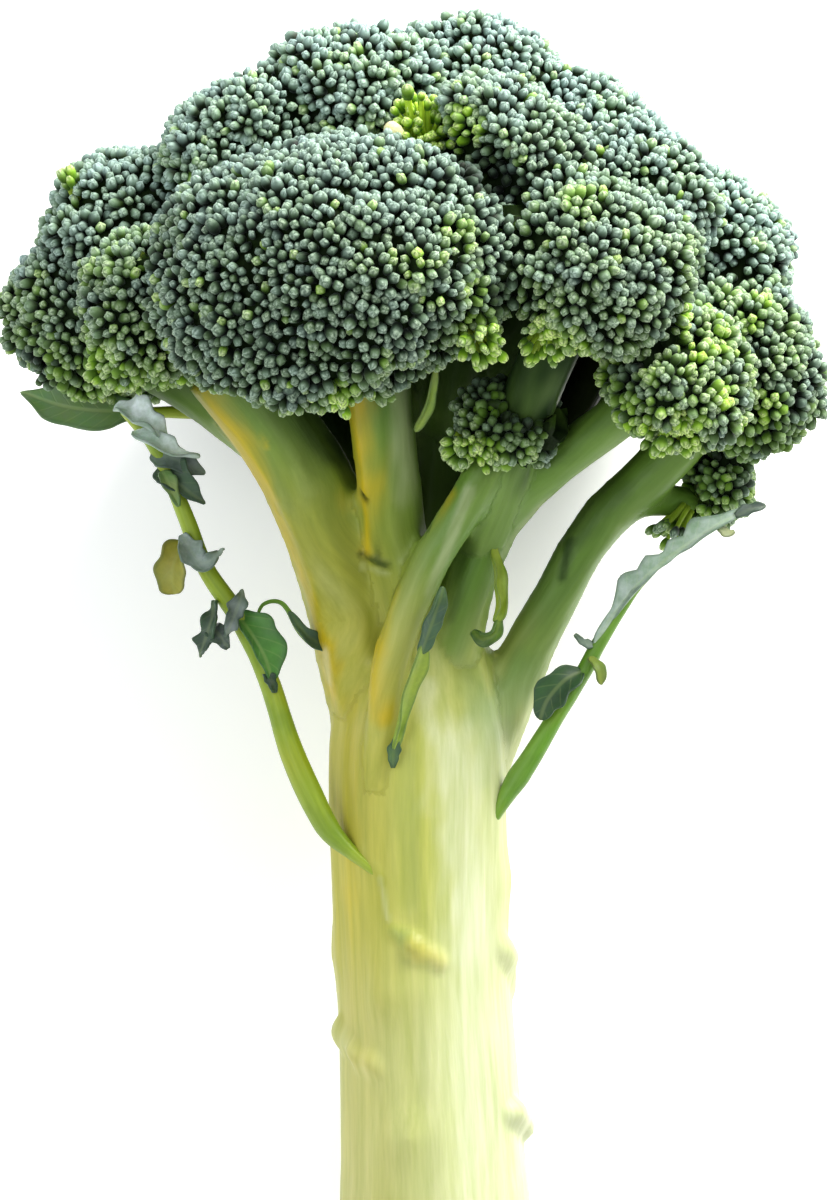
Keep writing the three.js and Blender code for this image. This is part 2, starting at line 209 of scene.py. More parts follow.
@dataclass
class Surface:
    """A closed mesh in millimetres, with values at its points.

    Attributes:
        points: the places of the points.
        quads: the four-sided faces.
        triangles: the three-sided faces.
        values: named values at each point, of 1, 3 or 4 numbers each.
        corner_map: a place on the bake sheet for each face corner, quads first.
    """

    points: Points
    quads: Points = field(default_factory=lambda: np.zeros((0, 4), int))
    triangles: Points = field(default_factory=lambda: np.zeros((0, 3), int))
    values: dict[str, Points] = field(default_factory=dict)
    corner_map: Points | None = None

    @classmethod
    def joined(cls, parts: list["Surface"]) -> "Surface":
        """Puts several surfaces into one mesh, without merging their points.

        Args:
            parts: the surfaces, all with the same named values.

        Returns:
            The one surface.
        """
        starts = np.cumsum([0, *(len(part.points) for part in parts)])
        names = parts[0].values
        return cls(
            np.vstack([part.points for part in parts]),
            np.vstack([part.quads + start for part, start in zip(parts, starts)]),
            np.vstack([part.triangles + start for part, start in zip(parts, starts)]),
            {name: np.concatenate([part.values[name] for part in parts]) for name in names},
        )

    def all_triangles(self) -> Points:
        """Every face as triangles."""
        halves = [self.quads[:, [0, 1, 2]], self.quads[:, [0, 2, 3]], self.triangles]
        return np.vstack(halves)

    def normals(self) -> Points:
        """The outward direction at each point."""
        triangles = self.all_triangles()
        corners = self.points[triangles]
        faces = np.cross(corners[:, 1] - corners[:, 0], corners[:, 2] - corners[:, 0])
        total = np.zeros_like(self.points)
        for i in range(3):
            for axis in range(3):
                total[:, axis] += np.bincount(
                    triangles[:, i], faces[:, axis], minlength=len(self.points)
                )
        return unit(total)

    def relaxed(self, rounds: int) -> "Surface":
        """Smooths the surface.

        Args:
            rounds: how often each point moves halfway to the middle of its neighbours.

        Returns:
            The smoothed surface, without values.
        """
        faces = [self.quads[:, [i, (i + 1) % 4]] for i in range(4)]
        faces += [self.triangles[:, [i, (i + 1) % 3]] for i in range(3)]
        edges = np.vstack(faces)
        edges = np.vstack([edges, edges[:, ::-1]])
        count = np.maximum(np.bincount(edges[:, 0], minlength=len(self.points)), 1)
        points = self.points
        for _ in range(rounds):
            sums = [
                np.bincount(edges[:, 0], points[edges[:, 1], axis], minlength=len(points))
                for axis in range(3)
            ]
            points = 0.5 * points + 0.5 * np.stack(sums, axis=1) / count[:, None]
        return Surface(points, self.quads, self.triangles)

    def grown(self, distance: float) -> "Surface":
        """The same surface, moved outwards."""
        return Surface(self.points + self.normals() * distance, self.quads, self.triangles)

    def tree(self) -> BVHTree:
        """A search tree of the faces."""
        return BVHTree.FromPolygons(self.points.tolist(), self.all_triangles().tolist())

    def mesh(self, name: str) -> bpy.types.Mesh:
        """Makes a Blender mesh, with the values as attributes.

        Args:
            name: the mesh's name.

        Returns:
            The mesh.
        """
        mesh = bpy.data.meshes.new(name)
        mesh.vertices.add(len(self.points))
        mesh.vertices.foreach_set("co", self.points.astype(np.float32).ravel())
        corners = np.concatenate([self.quads.ravel(), self.triangles.ravel()])
        sizes = np.concatenate([np.full(len(self.quads), 4), np.full(len(self.triangles), 3)])
        mesh.loops.add(len(corners))
        mesh.loops.foreach_set("vertex_index", corners.astype(np.int32))
        mesh.polygons.add(len(sizes))
        starts = np.concatenate([[0], np.cumsum(sizes)[:-1]])
        mesh.polygons.foreach_set("loop_start", starts.astype(np.int32))
        mesh.polygons.foreach_set("use_smooth", np.ones(len(sizes), bool))
        for key, value in self.values.items():
            kind = {1: "FLOAT", 3: "FLOAT_VECTOR", 4: "FLOAT_COLOR"}[value[:1].size]
            attribute = mesh.attributes.new(key, kind, "POINT")
            word = {"FLOAT": "value", "FLOAT_VECTOR": "vector", "FLOAT_COLOR": "color"}[kind]
            attribute.data.foreach_set(word, value.astype(np.float32).ravel())
        if self.corner_map is not None:
            sheet = mesh.uv_layers.new(name="OFBake")
            sheet.data.foreach_set("uv", self.corner_map.astype(np.float32).ravel())
        mesh.update(calc_edges=True)
        mesh.validate()
        return mesh

    def remeshed(self, voxel: float) -> "Surface":
        """One even skin of small quads around everything in the surface.

        Args:
            voxel: the size of a quad, in millimetres.

        Returns:
            The new surface, without values.
        """
        mesh = self.mesh("scratch")
        scratch = bpy.data.objects.new("scratch", mesh)
        bpy.context.scene.collection.objects.link(scratch)
        modifier = scratch.modifiers.new("skin", "REMESH")
        modifier.mode = "VOXEL"
        modifier.voxel_size = voxel
        graph = bpy.context.evaluated_depsgraph_get()
        made = scratch.evaluated_get(graph).to_mesh()
        points = np.empty(len(made.vertices) * 3, np.float32)
        made.vertices.foreach_get("co", points)
        sizes = np.empty(len(made.polygons), np.int32)
        made.polygons.foreach_get("loop_total", sizes)
        corners = np.empty(len(made.loops), np.int32)
        made.loops.foreach_get("vertex_index", corners)
        starts = np.concatenate([[0], np.cumsum(sizes)[:-1]])
        four = starts[sizes == 4][:, None] + np.arange(4)
        three = starts[sizes == 3][:, None] + np.arange(3)
        result = Surface(points.reshape(-1, 3).astype(float), corners[four], corners[three])
        scratch.to_mesh_clear()
        bpy.data.objects.remove(scratch)
        bpy.data.meshes.remove(mesh)
        return result


def ring_faces(levels: int, sides: int) -> tuple[Points, Points, Points]:
    """The faces between stacked rings of points, which are followed by a first and a last pole.

    Args:
        levels: how many rings there are.
        sides: how many points go round each.

    Returns:
        The quads of the wall, and the triangles of the first and of the last cap.
    """
    row = np.arange(sides)
    after = (row + 1) % sides
    band = np.stack([row, after, after + sides, row + sides], axis=1)
    wall = np.vstack([band + level * sides for level in range(levels - 1)])
    last = (levels - 1) * sides
    first_cap = np.stack([after, row, np.full(sides, levels * sides)], axis=1)
    last_cap = np.stack([row + last, after + last, np.full(sides, levels * sides + 1)], axis=1)
    return wall, first_cap, last_cap


def zone_shares(
    count: int,
    green: Points | float = 0.0,
    ochre: Points | float = 0.0,
    shade: Points | float = 0.0,
    cream: Points | float = 0.0,
) -> Points:
    """The shares from which the stem's finish mixes its colour.

    Args:
        count: how many points there are.
        green: how green the skin is, for all points or for each.
        ochre: how much it has yellowed.
        shade: how dark it is, mostly as painted shade.
        cream: how pale and bare, with the painted light on lit sides.

    Returns:
        Green, ochre, shade and cream at each point.
    """
    return np.column_stack([np.full(count, share, float) for share in (green, ochre, shade, cream)])


def tube(line: Points, radii: Points, sides: int, flatness: float = 1.0) -> Surface:
    """A closed tube with rounded ends along a line.

    Args:
        line: places on the tube's middle line, in millimetres.
        radii: the radius at each place.
        sides: how many points go round.
        flatness: thickness as a share of width.

    Returns:
        The tube, with `grain`, its place across and along, for streaks that run lengthwise.
    """
    tangents, across, over = side_frames(line)
    run = walked(line)
    angles = np.arange(sides) / sides * FULL_TURN
    ring = np.stack([np.cos(angles), np.sin(angles) * flatness], axis=1)
    spokes = ring[None, :, :1] * across[:, None] + ring[None, :, 1:] * over[:, None]
    rings = line[:, None] + spokes * radii[:, None, None]
    ends = [line[0] - tangents[0] * radii[0] * 0.5, line[-1] + tangents[-1] * radii[-1] * 0.5]
    points = np.vstack([rings.reshape(-1, 3), ends])
    flat = (ring[None] * radii[:, None, None]).reshape(-1, 2)
    lengthwise = np.repeat(run, sides)[:, None]
    grain = np.vstack([np.hstack([flat, lengthwise]), [[0, 0, 0], [0, 0, run[-1]]]])
    wall, *caps = ring_faces(len(line), sides)
    return Surface(points, wall, np.vstack(caps), {"grain": grain})


def scattered(
    surface: Surface, spacing: float, rng: np.random.Generator, keep: Points | None = None
) -> tuple[Points, Points]:
    """Places all over a surface, none nearer to each other than a spacing.

    Args:
        surface: the surface to cover.
        spacing: the least distance between two places, in millimetres.
        rng: the source of chance.
        keep: a share at each point of the surface; no place falls where it is under one half.

    Returns:
        The places and the outward direction at each.
    """
    triangles = surface.all_triangles()
    corners = surface.points[triangles]
    normals = surface.normals()
    area = 0.5 * np.linalg.norm(
        np.cross(corners[:, 1] - corners[:, 0], corners[:, 2] - corners[:, 0]), axis=1
    )
    if keep is not None:
        area = area * (keep[triangles].mean(axis=1) > 0.5)
    tries = int(area.sum() / spacing**2 * TRIES_PER_PLACE) + 20
    chosen = rng.choice(len(area), tries, p=area / area.sum())
    weights = rng.dirichlet((1, 1, 1), tries)
    places = (corners[chosen] * weights[:, :, None]).sum(axis=1)
    outward = unit((normals[triangles[chosen]] * weights[:, :, None]).sum(axis=1))
    cells = np.floor(places / spacing).astype(int)
    taken: dict[tuple[int, int, int], list[int]] = {}
    kept = []
    around = [(i, j, k) for i in (-1, 0, 1) for j in (-1, 0, 1) for k in (-1, 0, 1)]
    for index, (place, (i, j, k)) in enumerate(zip(places.tolist(), cells.tolist())):
        near = (
            other
            for a, b, c in around
            for other in taken.get((i + a, j + b, k + c), ())
        )
        if all(sum((a - b) ** 2 for a, b in zip(place, other)) >= spacing**2 for other in near):
            taken.setdefault((i, j, k), []).append(place)
            kept.append(index)
    return places[kept], outward[kept]


# ---- The frame in which the head grew ------------------------------------------------------


@dataclass(frozen=True)
class Growth:
    """The upright frame: millimetres, Z up the stalk, -Y towards the best side.

    Attributes:
        origin: the frame's origin in the row frame, in millimetres.
        axes: the upright X, Y and Z in the row frame, as rows.
    """

    origin: Points
    axes: Points

    @classmethod
    def from_cut_end(cls, stalk: bpy.types.Object, middle: Place) -> "Growth":
        """Reads the frame off the stalk's flat cut end.

        Args:
            stalk: the CAD stalk.
            middle: the middle of the cut end in the upright frame.

        Returns:
            The frame.
        """
        cut = [face for face in stalk.data.polygons if face.normal.y < CUT_FACING]
        area = sum(face.area for face in cut)
        centre = sum((face.center * face.area for face in cut), Vector()) / area / MM
        down = sum((face.normal * face.area for face in cut), Vector())
        up = -Vector((0, down.y, down.z)).normalized()
        right = Vector((1, 0, 0))
        axes = np.array([right, up.cross(right), up])
        return cls(np.array(centre) - np.array(middle) @ axes, axes)

    def laid(self, points: Points) -> Points:
        """Places of the upright frame in the row frame, in metres."""
        return (np.asarray(points, float) @ self.axes + self.origin) * MM

    def read(self, *nodes: str) -> Surface:
        """Reads CAD nodes' solids.

        Args:
            nodes: the nodes' names.

        Returns:
            Their faces as one surface, in the upright frame.
        """
        parts = []
        for node in nodes:
            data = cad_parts[node].data
            points = np.empty(len(data.vertices) * 3, np.float32)
            data.vertices.foreach_get("co", points)
            upright = (points.reshape(-1, 3) / MM - self.origin) @ self.axes.T
            data.calc_loop_triangles()
            corners = np.empty(len(data.loop_triangles) * 3, np.int32)
            data.loop_triangles.foreach_get("vertices", corners)
            places, index = np.unique(np.round(upright, 4), axis=0, return_inverse=True)
            faces = index.ravel()[corners].reshape(-1, 3)
            parts.append(Surface(places, triangles=faces))
        return Surface.joined(parts)

    def piece(
        self,
        name: str,
        surface: Surface,
        finish: bpy.types.Material,
        slot: Slot,
        nodes: tuple[str, ...],
    ) -> None:
        """Makes a finished piece of the head, pressed flat where it rests on the table.

        Args:
            name: the piece's name.
            surface: its mesh, in the upright frame.
            finish: its material.
            slot: the record's slot for that material; not used.
            nodes: the CAD nodes that it stands for.
        """
        points = self.laid(surface.points)
        points[:, 2] = np.where(points[:, 2] < 0, PRESSED * points[:, 2], points[:, 2])
        laid = Surface(
            points, surface.quads, surface.triangles, surface.values, surface.corner_map
        )
        made = bpy.data.objects.new(name, laid.mesh(name))
        made.data.materials.append(finish)
        bpy.context.scene.collection.objects.link(made)
        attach(made, BODY)
        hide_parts(*nodes)
        faces = len(surface.quads) + len(surface.triangles)
        LOG.info("%s: %d faces, in place of %s", name, faces, ", ".join(nodes))


# ---- Finishes ------------------------------------------------------------------------------

RGB = ("Red", "Green", "Blue")
MIX = {"data_type": "RGBA"}
DARKEN = {"data_type": "RGBA", "blend_type": "MULTIPLY"}
LIGHTEN = {"data_type": "RGBA", "blend_type": "SCREEN"}
TIMES = {"operation": "MULTIPLY"}
TIMES_CLAMPED = {"operation": "MULTIPLY", "use_clamp": True}
SMOOTH = {"interpolation_type": "SMOOTHSTEP"}


@dataclass(frozen=True)
class Finish:
    """What every finish shares: a material and one way to add a node to it."""

    name: str

    def start(self) -> bpy.types.NodeTree:
        """Makes the material, and returns its empty node tree."""
        material = bpy.data.materials.new(self.name)
        material.use_nodes = True
        material.node_tree.nodes.clear()
        return material.node_tree

    def add(
        self,
        tree: bpy.types.NodeTree,
        kind: str,
        settings: dict[str, object] | None = None,
        inputs: dict[str | int, object] | None = None,
        output: str | None = None,
    ) -> bpy.types.NodeSocket | None:
        """Adds a node with its settings and links.

        Args:
            tree: the tree that it goes into.
            kind: the node's type, without the "ShaderNode" that they all start with.
            settings: the node's own properties.
            inputs: a value, or the socket that feeds it, for each input, by name or number.
            output: the output wanted, if it isn't the first.

        Returns:
            The output socket, or None for a node that has none.
        """
        node = tree.nodes.new(f"ShaderNode{kind}")
        for name, value in (settings or {}).items():
            setattr(node, name, value)
        sockets = [socket for socket in node.inputs if socket.enabled]
        for key, value in (inputs or {}).items():
            socket = next(s for i, s in enumerate(sockets) if key in (i, s.name))
            if isinstance(value, bpy.types.NodeSocket):
                tree.links.new(value, socket)
            else:
                socket.default_value = value
        if not node.outputs:
            return None
        return next(s for s in node.outputs if s.enabled and output in (None, s.name))


@dataclass(frozen=True)
class BudSkin(Finish):
    """Closed flower buds, covered in plant wax, which greys their tips and dulls the light.

    Attributes:
        crevice_shade: painted shade at the foot of every bud, where buds press together and little light
            comes in.
        deep: the darker buds, and the seams where sepals meet.
        fresh: the lighter buds.
        wax: the bloom on the tips, laid on pale enough to serve as their painted highlight as well.
        light_haze: painted light, the pale blue cast that the bloom value lays over buds on the crown's
            top, right side and upward faces, where the lights fall.
        lemon: young buds that had no sun.
        lemon_foot: the same buds, low down.
        lemon_tip: their tips.
        sheen: the soft light that wax throws back at a low angle.
        fleck: how far apart the flecks of wax lie, in bud radii.
        pore_mm: the size of the skin's fine bumps; real ones are finer than can show.
    """

    crevice_shade: str = "#050b05"
    deep: str = "#22392a"
    fresh: str = "#456030"
    wax: str = "#a2b69c"
    light_haze: str = "#adc8c5"
    lemon: str = "#8fbd1f"
    lemon_foot: str = "#56800c"
    lemon_tip: str = "#d6e892"
    sheen: str = "#c7dcd2"
    fleck: float = 0.5
    pore_mm: float = 0.35

    def material(self) -> bpy.types.Material:
        """Builds the material."""
        add = partial(self.add, self.start())
        bud = add("Attribute", {"attribute_name": "bud"})
        bloom = add("Attribute", {"attribute_name": "bud"}, output="Alpha")
        tip, tone, ripe = (add("SeparateColor", None, {"Color": bud}, part) for part in RGB)
        sepal = add("Attribute", {"attribute_name": "sepal"}, output="Vector")
        # the seams between the four sepals run up the bud where X and Y are alike in size
        flat = add("VectorMath", TIMES, {0: sepal, 1: (1.0, 1.0, 0.0)}, "Vector")
        bearing = add("VectorMath", {"operation": "NORMALIZE"}, {0: flat}, "Vector")
        east, north = (add("SeparateXYZ", None, {"Vector": bearing}, part) for part in "XY")
        turn = add("Math", TIMES, {0: east, 1: north})
        turn = add("Math", {"operation": "ABSOLUTE"}, {0: turn})
        seam = {"Value": turn, "From Min": 0.3, "From Max": 0.5, "To Max": 0.6}
        seam = add("MapRange", SMOOTH, seam)
        flecks = {"Vector": sepal, "Scale": 1 / self.fleck, "Detail": 2.0, "Roughness": 0.65}
        flecks = add("TexNoise", None, flecks)
        flecks = {"Value": flecks, "From Min": 0.4, "From Max": 0.62, "To Min": 0.3, "To Max": 1.15}
        flecked = add("MapRange", SMOOTH, flecks)
        risen = add("MapRange", SMOOTH, {"Value": tip, "From Min": 0.3, "From Max": 0.85})
        high = add("MapRange", SMOOTH, {"Value": tip, "From Min": 0.6, "From Max": 1.0})
        # real wax bloom on each tip, which also serves as its painted highlight
        wax_and_highlight = add("Math", TIMES_CLAMPED, {0: high, 1: flecked})
        # green skin with painted shade towards each bud's foot, grey wax on the tip that is also its
        # painted highlight, and a painted haze of light all over the buds that the bloom value marks
        skin = add("Mix", MIX, {"Factor": tone, "A": linear(self.deep), "B": linear(self.fresh)})
        skin = add("Mix", MIX, {"Factor": risen, "A": linear(self.crevice_shade), "B": skin})
        bluish = add("Mix", MIX, {"Factor": bloom, "A": linear(self.wax), "B": linear(self.light_haze)})
        share = add("Math", TIMES, {0: wax_and_highlight, 1: 0.82})
        skin = add("Mix", MIX, {"Factor": share, "A": skin, "B": bluish})
        # painted light: a pale haze over the whole of each bud that the bloom value marks as lit
        light_haze_share = add("Math", TIMES, {0: bloom, 1: risen})
        light_haze_share = add("Math", TIMES, {0: light_haze_share, 1: 0.55})
        skin = add("Mix", MIX, {"Factor": light_haze_share, "A": skin, "B": linear(self.light_haze)})
        # young buds, and the seams over both kinds
        young = {"Factor": risen, "A": linear(self.lemon_foot), "B": linear(self.lemon)}
        young = add("Mix", MIX, young)
        young = add("Mix", MIX, {"Factor": wax_and_highlight, "A": young, "B": linear(self.lemon_tip)})
        skin = add("Mix", MIX, {"Factor": ripe, "A": skin, "B": young})
        parted = add("Math", TIMES, {0: seam, 1: high})
        skin = add("Mix", MIX, {"Factor": parted, "A": skin, "B": linear(self.deep)})
        place = add("TexCoord", output="Object")
        pores = {"Vector": place, "Scale": 1 / (self.pore_mm * MM), "Detail": 2.0}
        pores = add("TexNoise", None, pores)
        bump = add("Bump", None, {"Height": pores, "Distance": 0.0001, "Strength": 0.6})
        shader = add("BsdfPrincipled", None, {
            "Base Color": skin,
            "Roughness": 0.6,
            "IOR": 1.4,
            "Specular IOR Level": 0.3,
            "Sheen Weight": 0.12,
            "Sheen Roughness": 0.5,
            "Sheen Tint": linear(self.sheen),
            "Normal": bump,
        })
        add("OutputMaterial", None, {"Surface": shader})
        return bpy.data.materials[self.name]


@dataclass(frozen=True)
class StemSkin(Finish):
    """The skin of stalk, branches and pedicels: smooth, moist and finely streaked lengthwise.

    Attributes:
        pale: the thick, bare stalk.
        green: the branches near the crown.
        ochre: where the skin has yellowed.
        shade: painted shade in creases, under the crown and between the buds, and the dark green leaf
            traces.
        cream: pale, scraped or newly cut flesh, and the painted light on the stalk's lit right side and
            along the branches' lit edges.
        streak: what the fine streaks do to the colour under them.
        band: what the broad, pale bands add to it.
        streak_mm: how wide a streak in the skin is.
        gloss: how strongly the skin mirrors, where 0.5 is usual.
    """

    pale: str = "#b1b558"
    green: str = "#678a34"
    ochre: str = "#c6ac04"
    shade: str = "#22341a"
    cream: str = "#d4d7b4"
    streak: str = "#b9c98a"
    band: str = "#8d9663"
    streak_mm: float = 1.6
    gloss: float = 0.4

    def material(self) -> bpy.types.Material:
        """Builds the material."""
        add = partial(self.add, self.start())
        zone = add("Attribute", {"attribute_name": "zone"})
        cream = add("Attribute", {"attribute_name": "zone"}, output="Alpha")
        green, ochre, shade = (add("SeparateColor", None, {"Color": zone}, part) for part in RGB)
        grain = add("Attribute", {"attribute_name": "grain"}, output="Vector")
        grain = add("Mapping", None, {"Vector": grain, "Scale": (1.0, 1.0, 0.07)})
        streaks = {"Vector": grain, "Scale": 1 / self.streak_mm, "Detail": 4.0, "Roughness": 0.6}
        streaks = add("TexNoise", None, streaks)
        bands = {"Vector": grain, "Scale": 0.28 / self.streak_mm, "Detail": 2.0}
        bands = add("TexNoise", None, bands)
        skin = linear(self.pale)
        for factor, colour in ((green, self.green), (ochre, self.ochre), (cream, self.cream)):
            skin = add("Mix", MIX, {"Factor": factor, "A": skin, "B": linear(colour)})
        light = add("MapRange", None, {"Value": streaks, "From Min": 0.3, "From Max": 0.75})
        darker = add("Mix", DARKEN, {"Factor": 0.55, "A": skin, "B": linear(self.streak)})
        skin = add("Mix", MIX, {"Factor": light, "A": darker, "B": skin})
        wide = {"Value": bands, "From Min": 0.4, "From Max": 0.68, "To Max": 0.45}
        wide = add("MapRange", None, wide)
        paler = add("Mix", LIGHTEN, {"Factor": 0.35, "A": skin, "B": linear(self.band)})
        skin = add("Mix", MIX, {"Factor": wide, "A": skin, "B": paler})
        # painted shade, which also takes the shine off the skin there
        skin = add("Mix", MIX, {"Factor": shade, "A": skin, "B": linear(self.shade)})
        shine = add("MapRange", None, {"Value": shade, "To Min": self.gloss, "To Max": 0.03})
        bump = add("Bump", None, {"Height": streaks, "Distance": 0.0003, "Strength": 0.45})
        shader = add("BsdfPrincipled", None, {
            "Base Color": skin,
            "Roughness": 0.42,
            "IOR": 1.4,
            "Specular IOR Level": shine,
            "Subsurface Weight": 0.12,
            "Subsurface Radius": (0.003, 0.004, 0.001),
            "Subsurface Scale": 0.6,
            "Normal": bump,
        })
        add("OutputMaterial", None, {"Surface": shader})
        return bpy.data.materials[self.name]


@dataclass(frozen=True)
class LeafSkin(Finish):
    """A brassica leaf: green, veined, and matt and bluish where its wax is whole.

    Attributes:
        green: the blade's own colour.
        dark: the darker lobes, and the blade's rim.
        wax: the pale blue bloom.
        yellow: lobes that have aged.
        vein: the veins.
        mottle: what the cloudy patches do to the colour under them.
        sheen: the soft light that wax throws back at a low angle.
        vein_mm: how far apart the side veins are.
        cloud_mm: how wide the cloudy patches are.
    """

    green: str = "#528c34"
    dark: str = "#25402a"
    wax: str = "#eef9f8"
    yellow: str = "#aca23a"
    vein: str = "#a9bb6a"
    mottle: str = "#a8b48c"
    sheen: str = "#d6e6e0"
    vein_mm: float = 2.6
    cloud_mm: float = 2.4

    def material(self) -> bpy.types.Material:
        """Builds the material."""
        add = partial(self.add, self.start())
        tint = add("Attribute", {"attribute_name": "tint"})
        yellow = add("Attribute", {"attribute_name": "tint"}, output="Alpha")
        dark, wax, edge = (add("SeparateColor", None, {"Color": tint}, part) for part in RGB)
        sheet = add("Attribute", {"attribute_name": "sheet"}, output="Vector")
        across, along, shown = (add("SeparateXYZ", None, {"Vector": sheet}, part) for part in "XYZ")
        # side veins slant away from the midrib, one every vein_mm
        out = add("Math", {"operation": "ABSOLUTE"}, {0: across})
        slope = add("Math", {"operation": "SUBTRACT"}, {0: along, 1: out})
        cycle = add("Math", {"operation": "PINGPONG"}, {0: slope, 1: self.vein_mm / 2})
        side_vein = {"Value": cycle, "From Max": 0.3, "To Min": 0.5, "To Max": 0.0}
        side_vein = add("MapRange", SMOOTH, side_vein)
        midrib = {"Value": out, "From Min": 0.1, "From Max": 0.6, "To Min": 1.0, "To Max": 0.0}
        midrib = add("MapRange", SMOOTH, midrib)
        veins = add("Math", {"operation": "MAXIMUM"}, {0: side_vein, 1: midrib})
        veins = add("Math", TIMES, {0: veins, 1: shown})
        place = add("TexCoord", output="Object")
        cloud = {"Vector": place, "Scale": 1 / (self.cloud_mm * MM), "Detail": 4.0, "Roughness": 0.6}
        cloud = add("TexNoise", None, cloud)
        skin = add("Mix", MIX, {"Factor": dark, "A": linear(self.green), "B": linear(self.dark)})
        skin = add("Mix", MIX, {"Factor": yellow, "A": skin, "B": linear(self.yellow)})
        skin = add("Mix", DARKEN, {"Factor": cloud, "A": skin, "B": linear(self.mottle)})
        skin = add("Mix", MIX, {"Factor": veins, "A": skin, "B": linear(self.vein)})
        part = add("Math", TIMES, {0: cloud, 1: 1.5})
        worn = add("Math", TIMES_CLAMPED, {0: wax, 1: part})
        skin = add("Mix", MIX, {"Factor": worn, "A": skin, "B": linear(self.wax)})
        skin = add("Mix", MIX, {"Factor": edge, "A": skin, "B": linear(self.dark)})
        relief = {"Height": veins, "Distance": 0.0003, "Strength": 0.6}
        bump = add("Bump", {"invert": True}, relief)
        shader = add("BsdfPrincipled", None, {
            "Base Color": skin,
            "Roughness": 0.5,
            "IOR": 1.42,
            "Sheen Weight": 0.12,
            "Sheen Tint": linear(self.sheen),
            "Subsurface Weight": 0.08,
            "Subsurface Radius": (0.001, 0.002, 0.0005),
            "Subsurface Scale": 0.5,
            "Normal": bump,
        })
        add("OutputMaterial", None, {"Surface": shader})
        return bpy.data.materials[self.name]


@dataclass(frozen=True)
class Paper(Finish):
    """A plain sheet of white paper, which the head lies on, with a soft light behind it.

    Attributes:
        white: the paper's colour.
        glow: how bright the light behind it is, which lifts the shadows.
    """

    white: str = "#fbfbfa"
    glow: float = 0.26

    def material(self) -> bpy.types.Material:
        """Builds the material."""
        add = partial(self.add, self.start())
        shader = add("BsdfPrincipled", None, {
            "Base Color": linear(self.white),
            "Roughness": 0.9,
            "Emission Color": linear(self.white),
            "Emission Strength": self.glow,
        })
        add("OutputMaterial", None, {"Surface": shader})
        return bpy.data.materials[self.name]


# ---- Buds and florets ----------------------------------------------------------------------


@dataclass(frozen=True)
class Bud:
    """One closed flower bud: an ovoid of four sepals that meet at the tip.

    Attributes:
        profile: radius, height and sepal groove depth of each ring, as shares of the radius.
        tip: the height of the tip, where the sepals meet.
        sides: points round a ring, two for each sepal.
    """

    profile: tuple[tuple[float, float, float], ...] = (
        (0.55, -1.0, 0.0),
        (0.88, -0.4, 0.05),
        (1.0, 0.15, 0.12),
        (0.88, 0.66, 0.2),
        (0.5, 1.06, 0.36),
    )
    tip: float = 1.04
    sides: int = 8

    def shape(self) -> tuple[Points, Points, Points, Points, Points]:
        """Works out the bud's mesh once, for all its copies.

        Returns:
            Points, quads, triangles, how far up each point is, and each corner's place in
            the bud's square of the bake sheet.
        """
        angles = np.arange(self.sides) / self.sides * FULL_TURN
        levels = len(self.profile)
        rings = []
        for radius, height, groove in self.profile:
            cut = radius * (1 - groove * (1 - np.cos(4 * angles)) / 2)
            ring = [cut * np.cos(angles), cut * np.sin(angles), np.full(self.sides, height)]
            rings.append(np.stack(ring, 1))
        low = self.profile[0][1]
        points = np.vstack([*rings, [[0, 0, low - 0.1]], [[0, 0, self.tip]]])
        quads, under, over = ring_faces(levels, self.sides)
        reach = np.concatenate([np.repeat(np.linspace(0.46, 0.12, levels), self.sides), [0, 0]])
        turn = np.concatenate([np.tile(angles, levels), [0, 0]])
        sheet = np.stack([0.5 + reach * np.cos(turn), 0.5 + reach * np.sin(turn)], 1)
        hidden = np.full((self.sides * 3, 2), 0.01)
        corners = np.vstack([sheet[quads.ravel()], hidden, sheet[over.ravel()]])
        risen = np.clip((points[:, 2] - low) / (self.tip - low), 0, 1)
        return points, quads, np.vstack([under, over]), risen, corners

    def crowd(
        self,
        places: Points,
        directions: Points,
        sizes: Points,
        looks: Points,
        rng: np.random.Generator,
    ) -> Surface:
        """Sets a bud at every place.

        Args:
            places: where the buds sit, in millimetres.
            directions: where their tips point.
            sizes: their radii.
            looks: tone, ripeness, bloom with painted light haze, and painted shade of each bud.
            rng: the source of chance.

        Returns:
            All the buds, with the `bud` and `sepal` values that their finish reads.
        """
        shape, quads, triangles, risen, corners = self.shape()
        count = len(places)
        helper = unit(rng.normal(size=(count, 3)))
        across = unit(np.cross(directions, helper))
        over = np.cross(directions, across)
        stretch = rng.uniform(1.0, 1.45, count)
        oval = rng.uniform(0.84, 1.12, (count, 2))
        away = (
            across[:, None] * (shape[None, :, :1] * oval[:, :1, None])
            + over[:, None] * (shape[None, :, 1:2] * oval[:, 1:, None])
            + directions[:, None] * (shape[None, :, 2:] * stretch[:, None, None])
        )
        points = (places[:, None] + sizes[:, None, None] * away).reshape(-1, 3)
        starts = (np.arange(count) * len(shape))[:, None, None]
        own = np.repeat(looks[:, :3], len(shape), axis=0)
        values = np.column_stack([np.tile(risen, count), own])
        # painted shade: a bud's shade lowers how far up each point counts as risen, so its finish paints
        # more of it dark
        values[:, 0] *= np.repeat(1 - 0.55 * looks[:, 3], len(shape))
        sepal = np.tile(shape, (count, 1))
        sepal[:, 2] += np.repeat(np.arange(count) % 97 * 5.3, len(shape))
        columns = math.ceil(math.sqrt(count))
        cell = np.stack([np.arange(count) % columns, np.arange(count) // columns], 1) / columns
        split = len(quads) * 4
        sheet = corners[None] / columns + cell[:, None]
        return Surface(
            points,
            (quads[None] + starts).reshape(-1, 4),
            (triangles[None] + starts).reshape(-1, 3),
            {"bud": values, "sepal": sepal},
            np.vstack([sheet[:, :split].reshape(-1, 2), sheet[:, split:].reshape(-1, 2)]),
        )


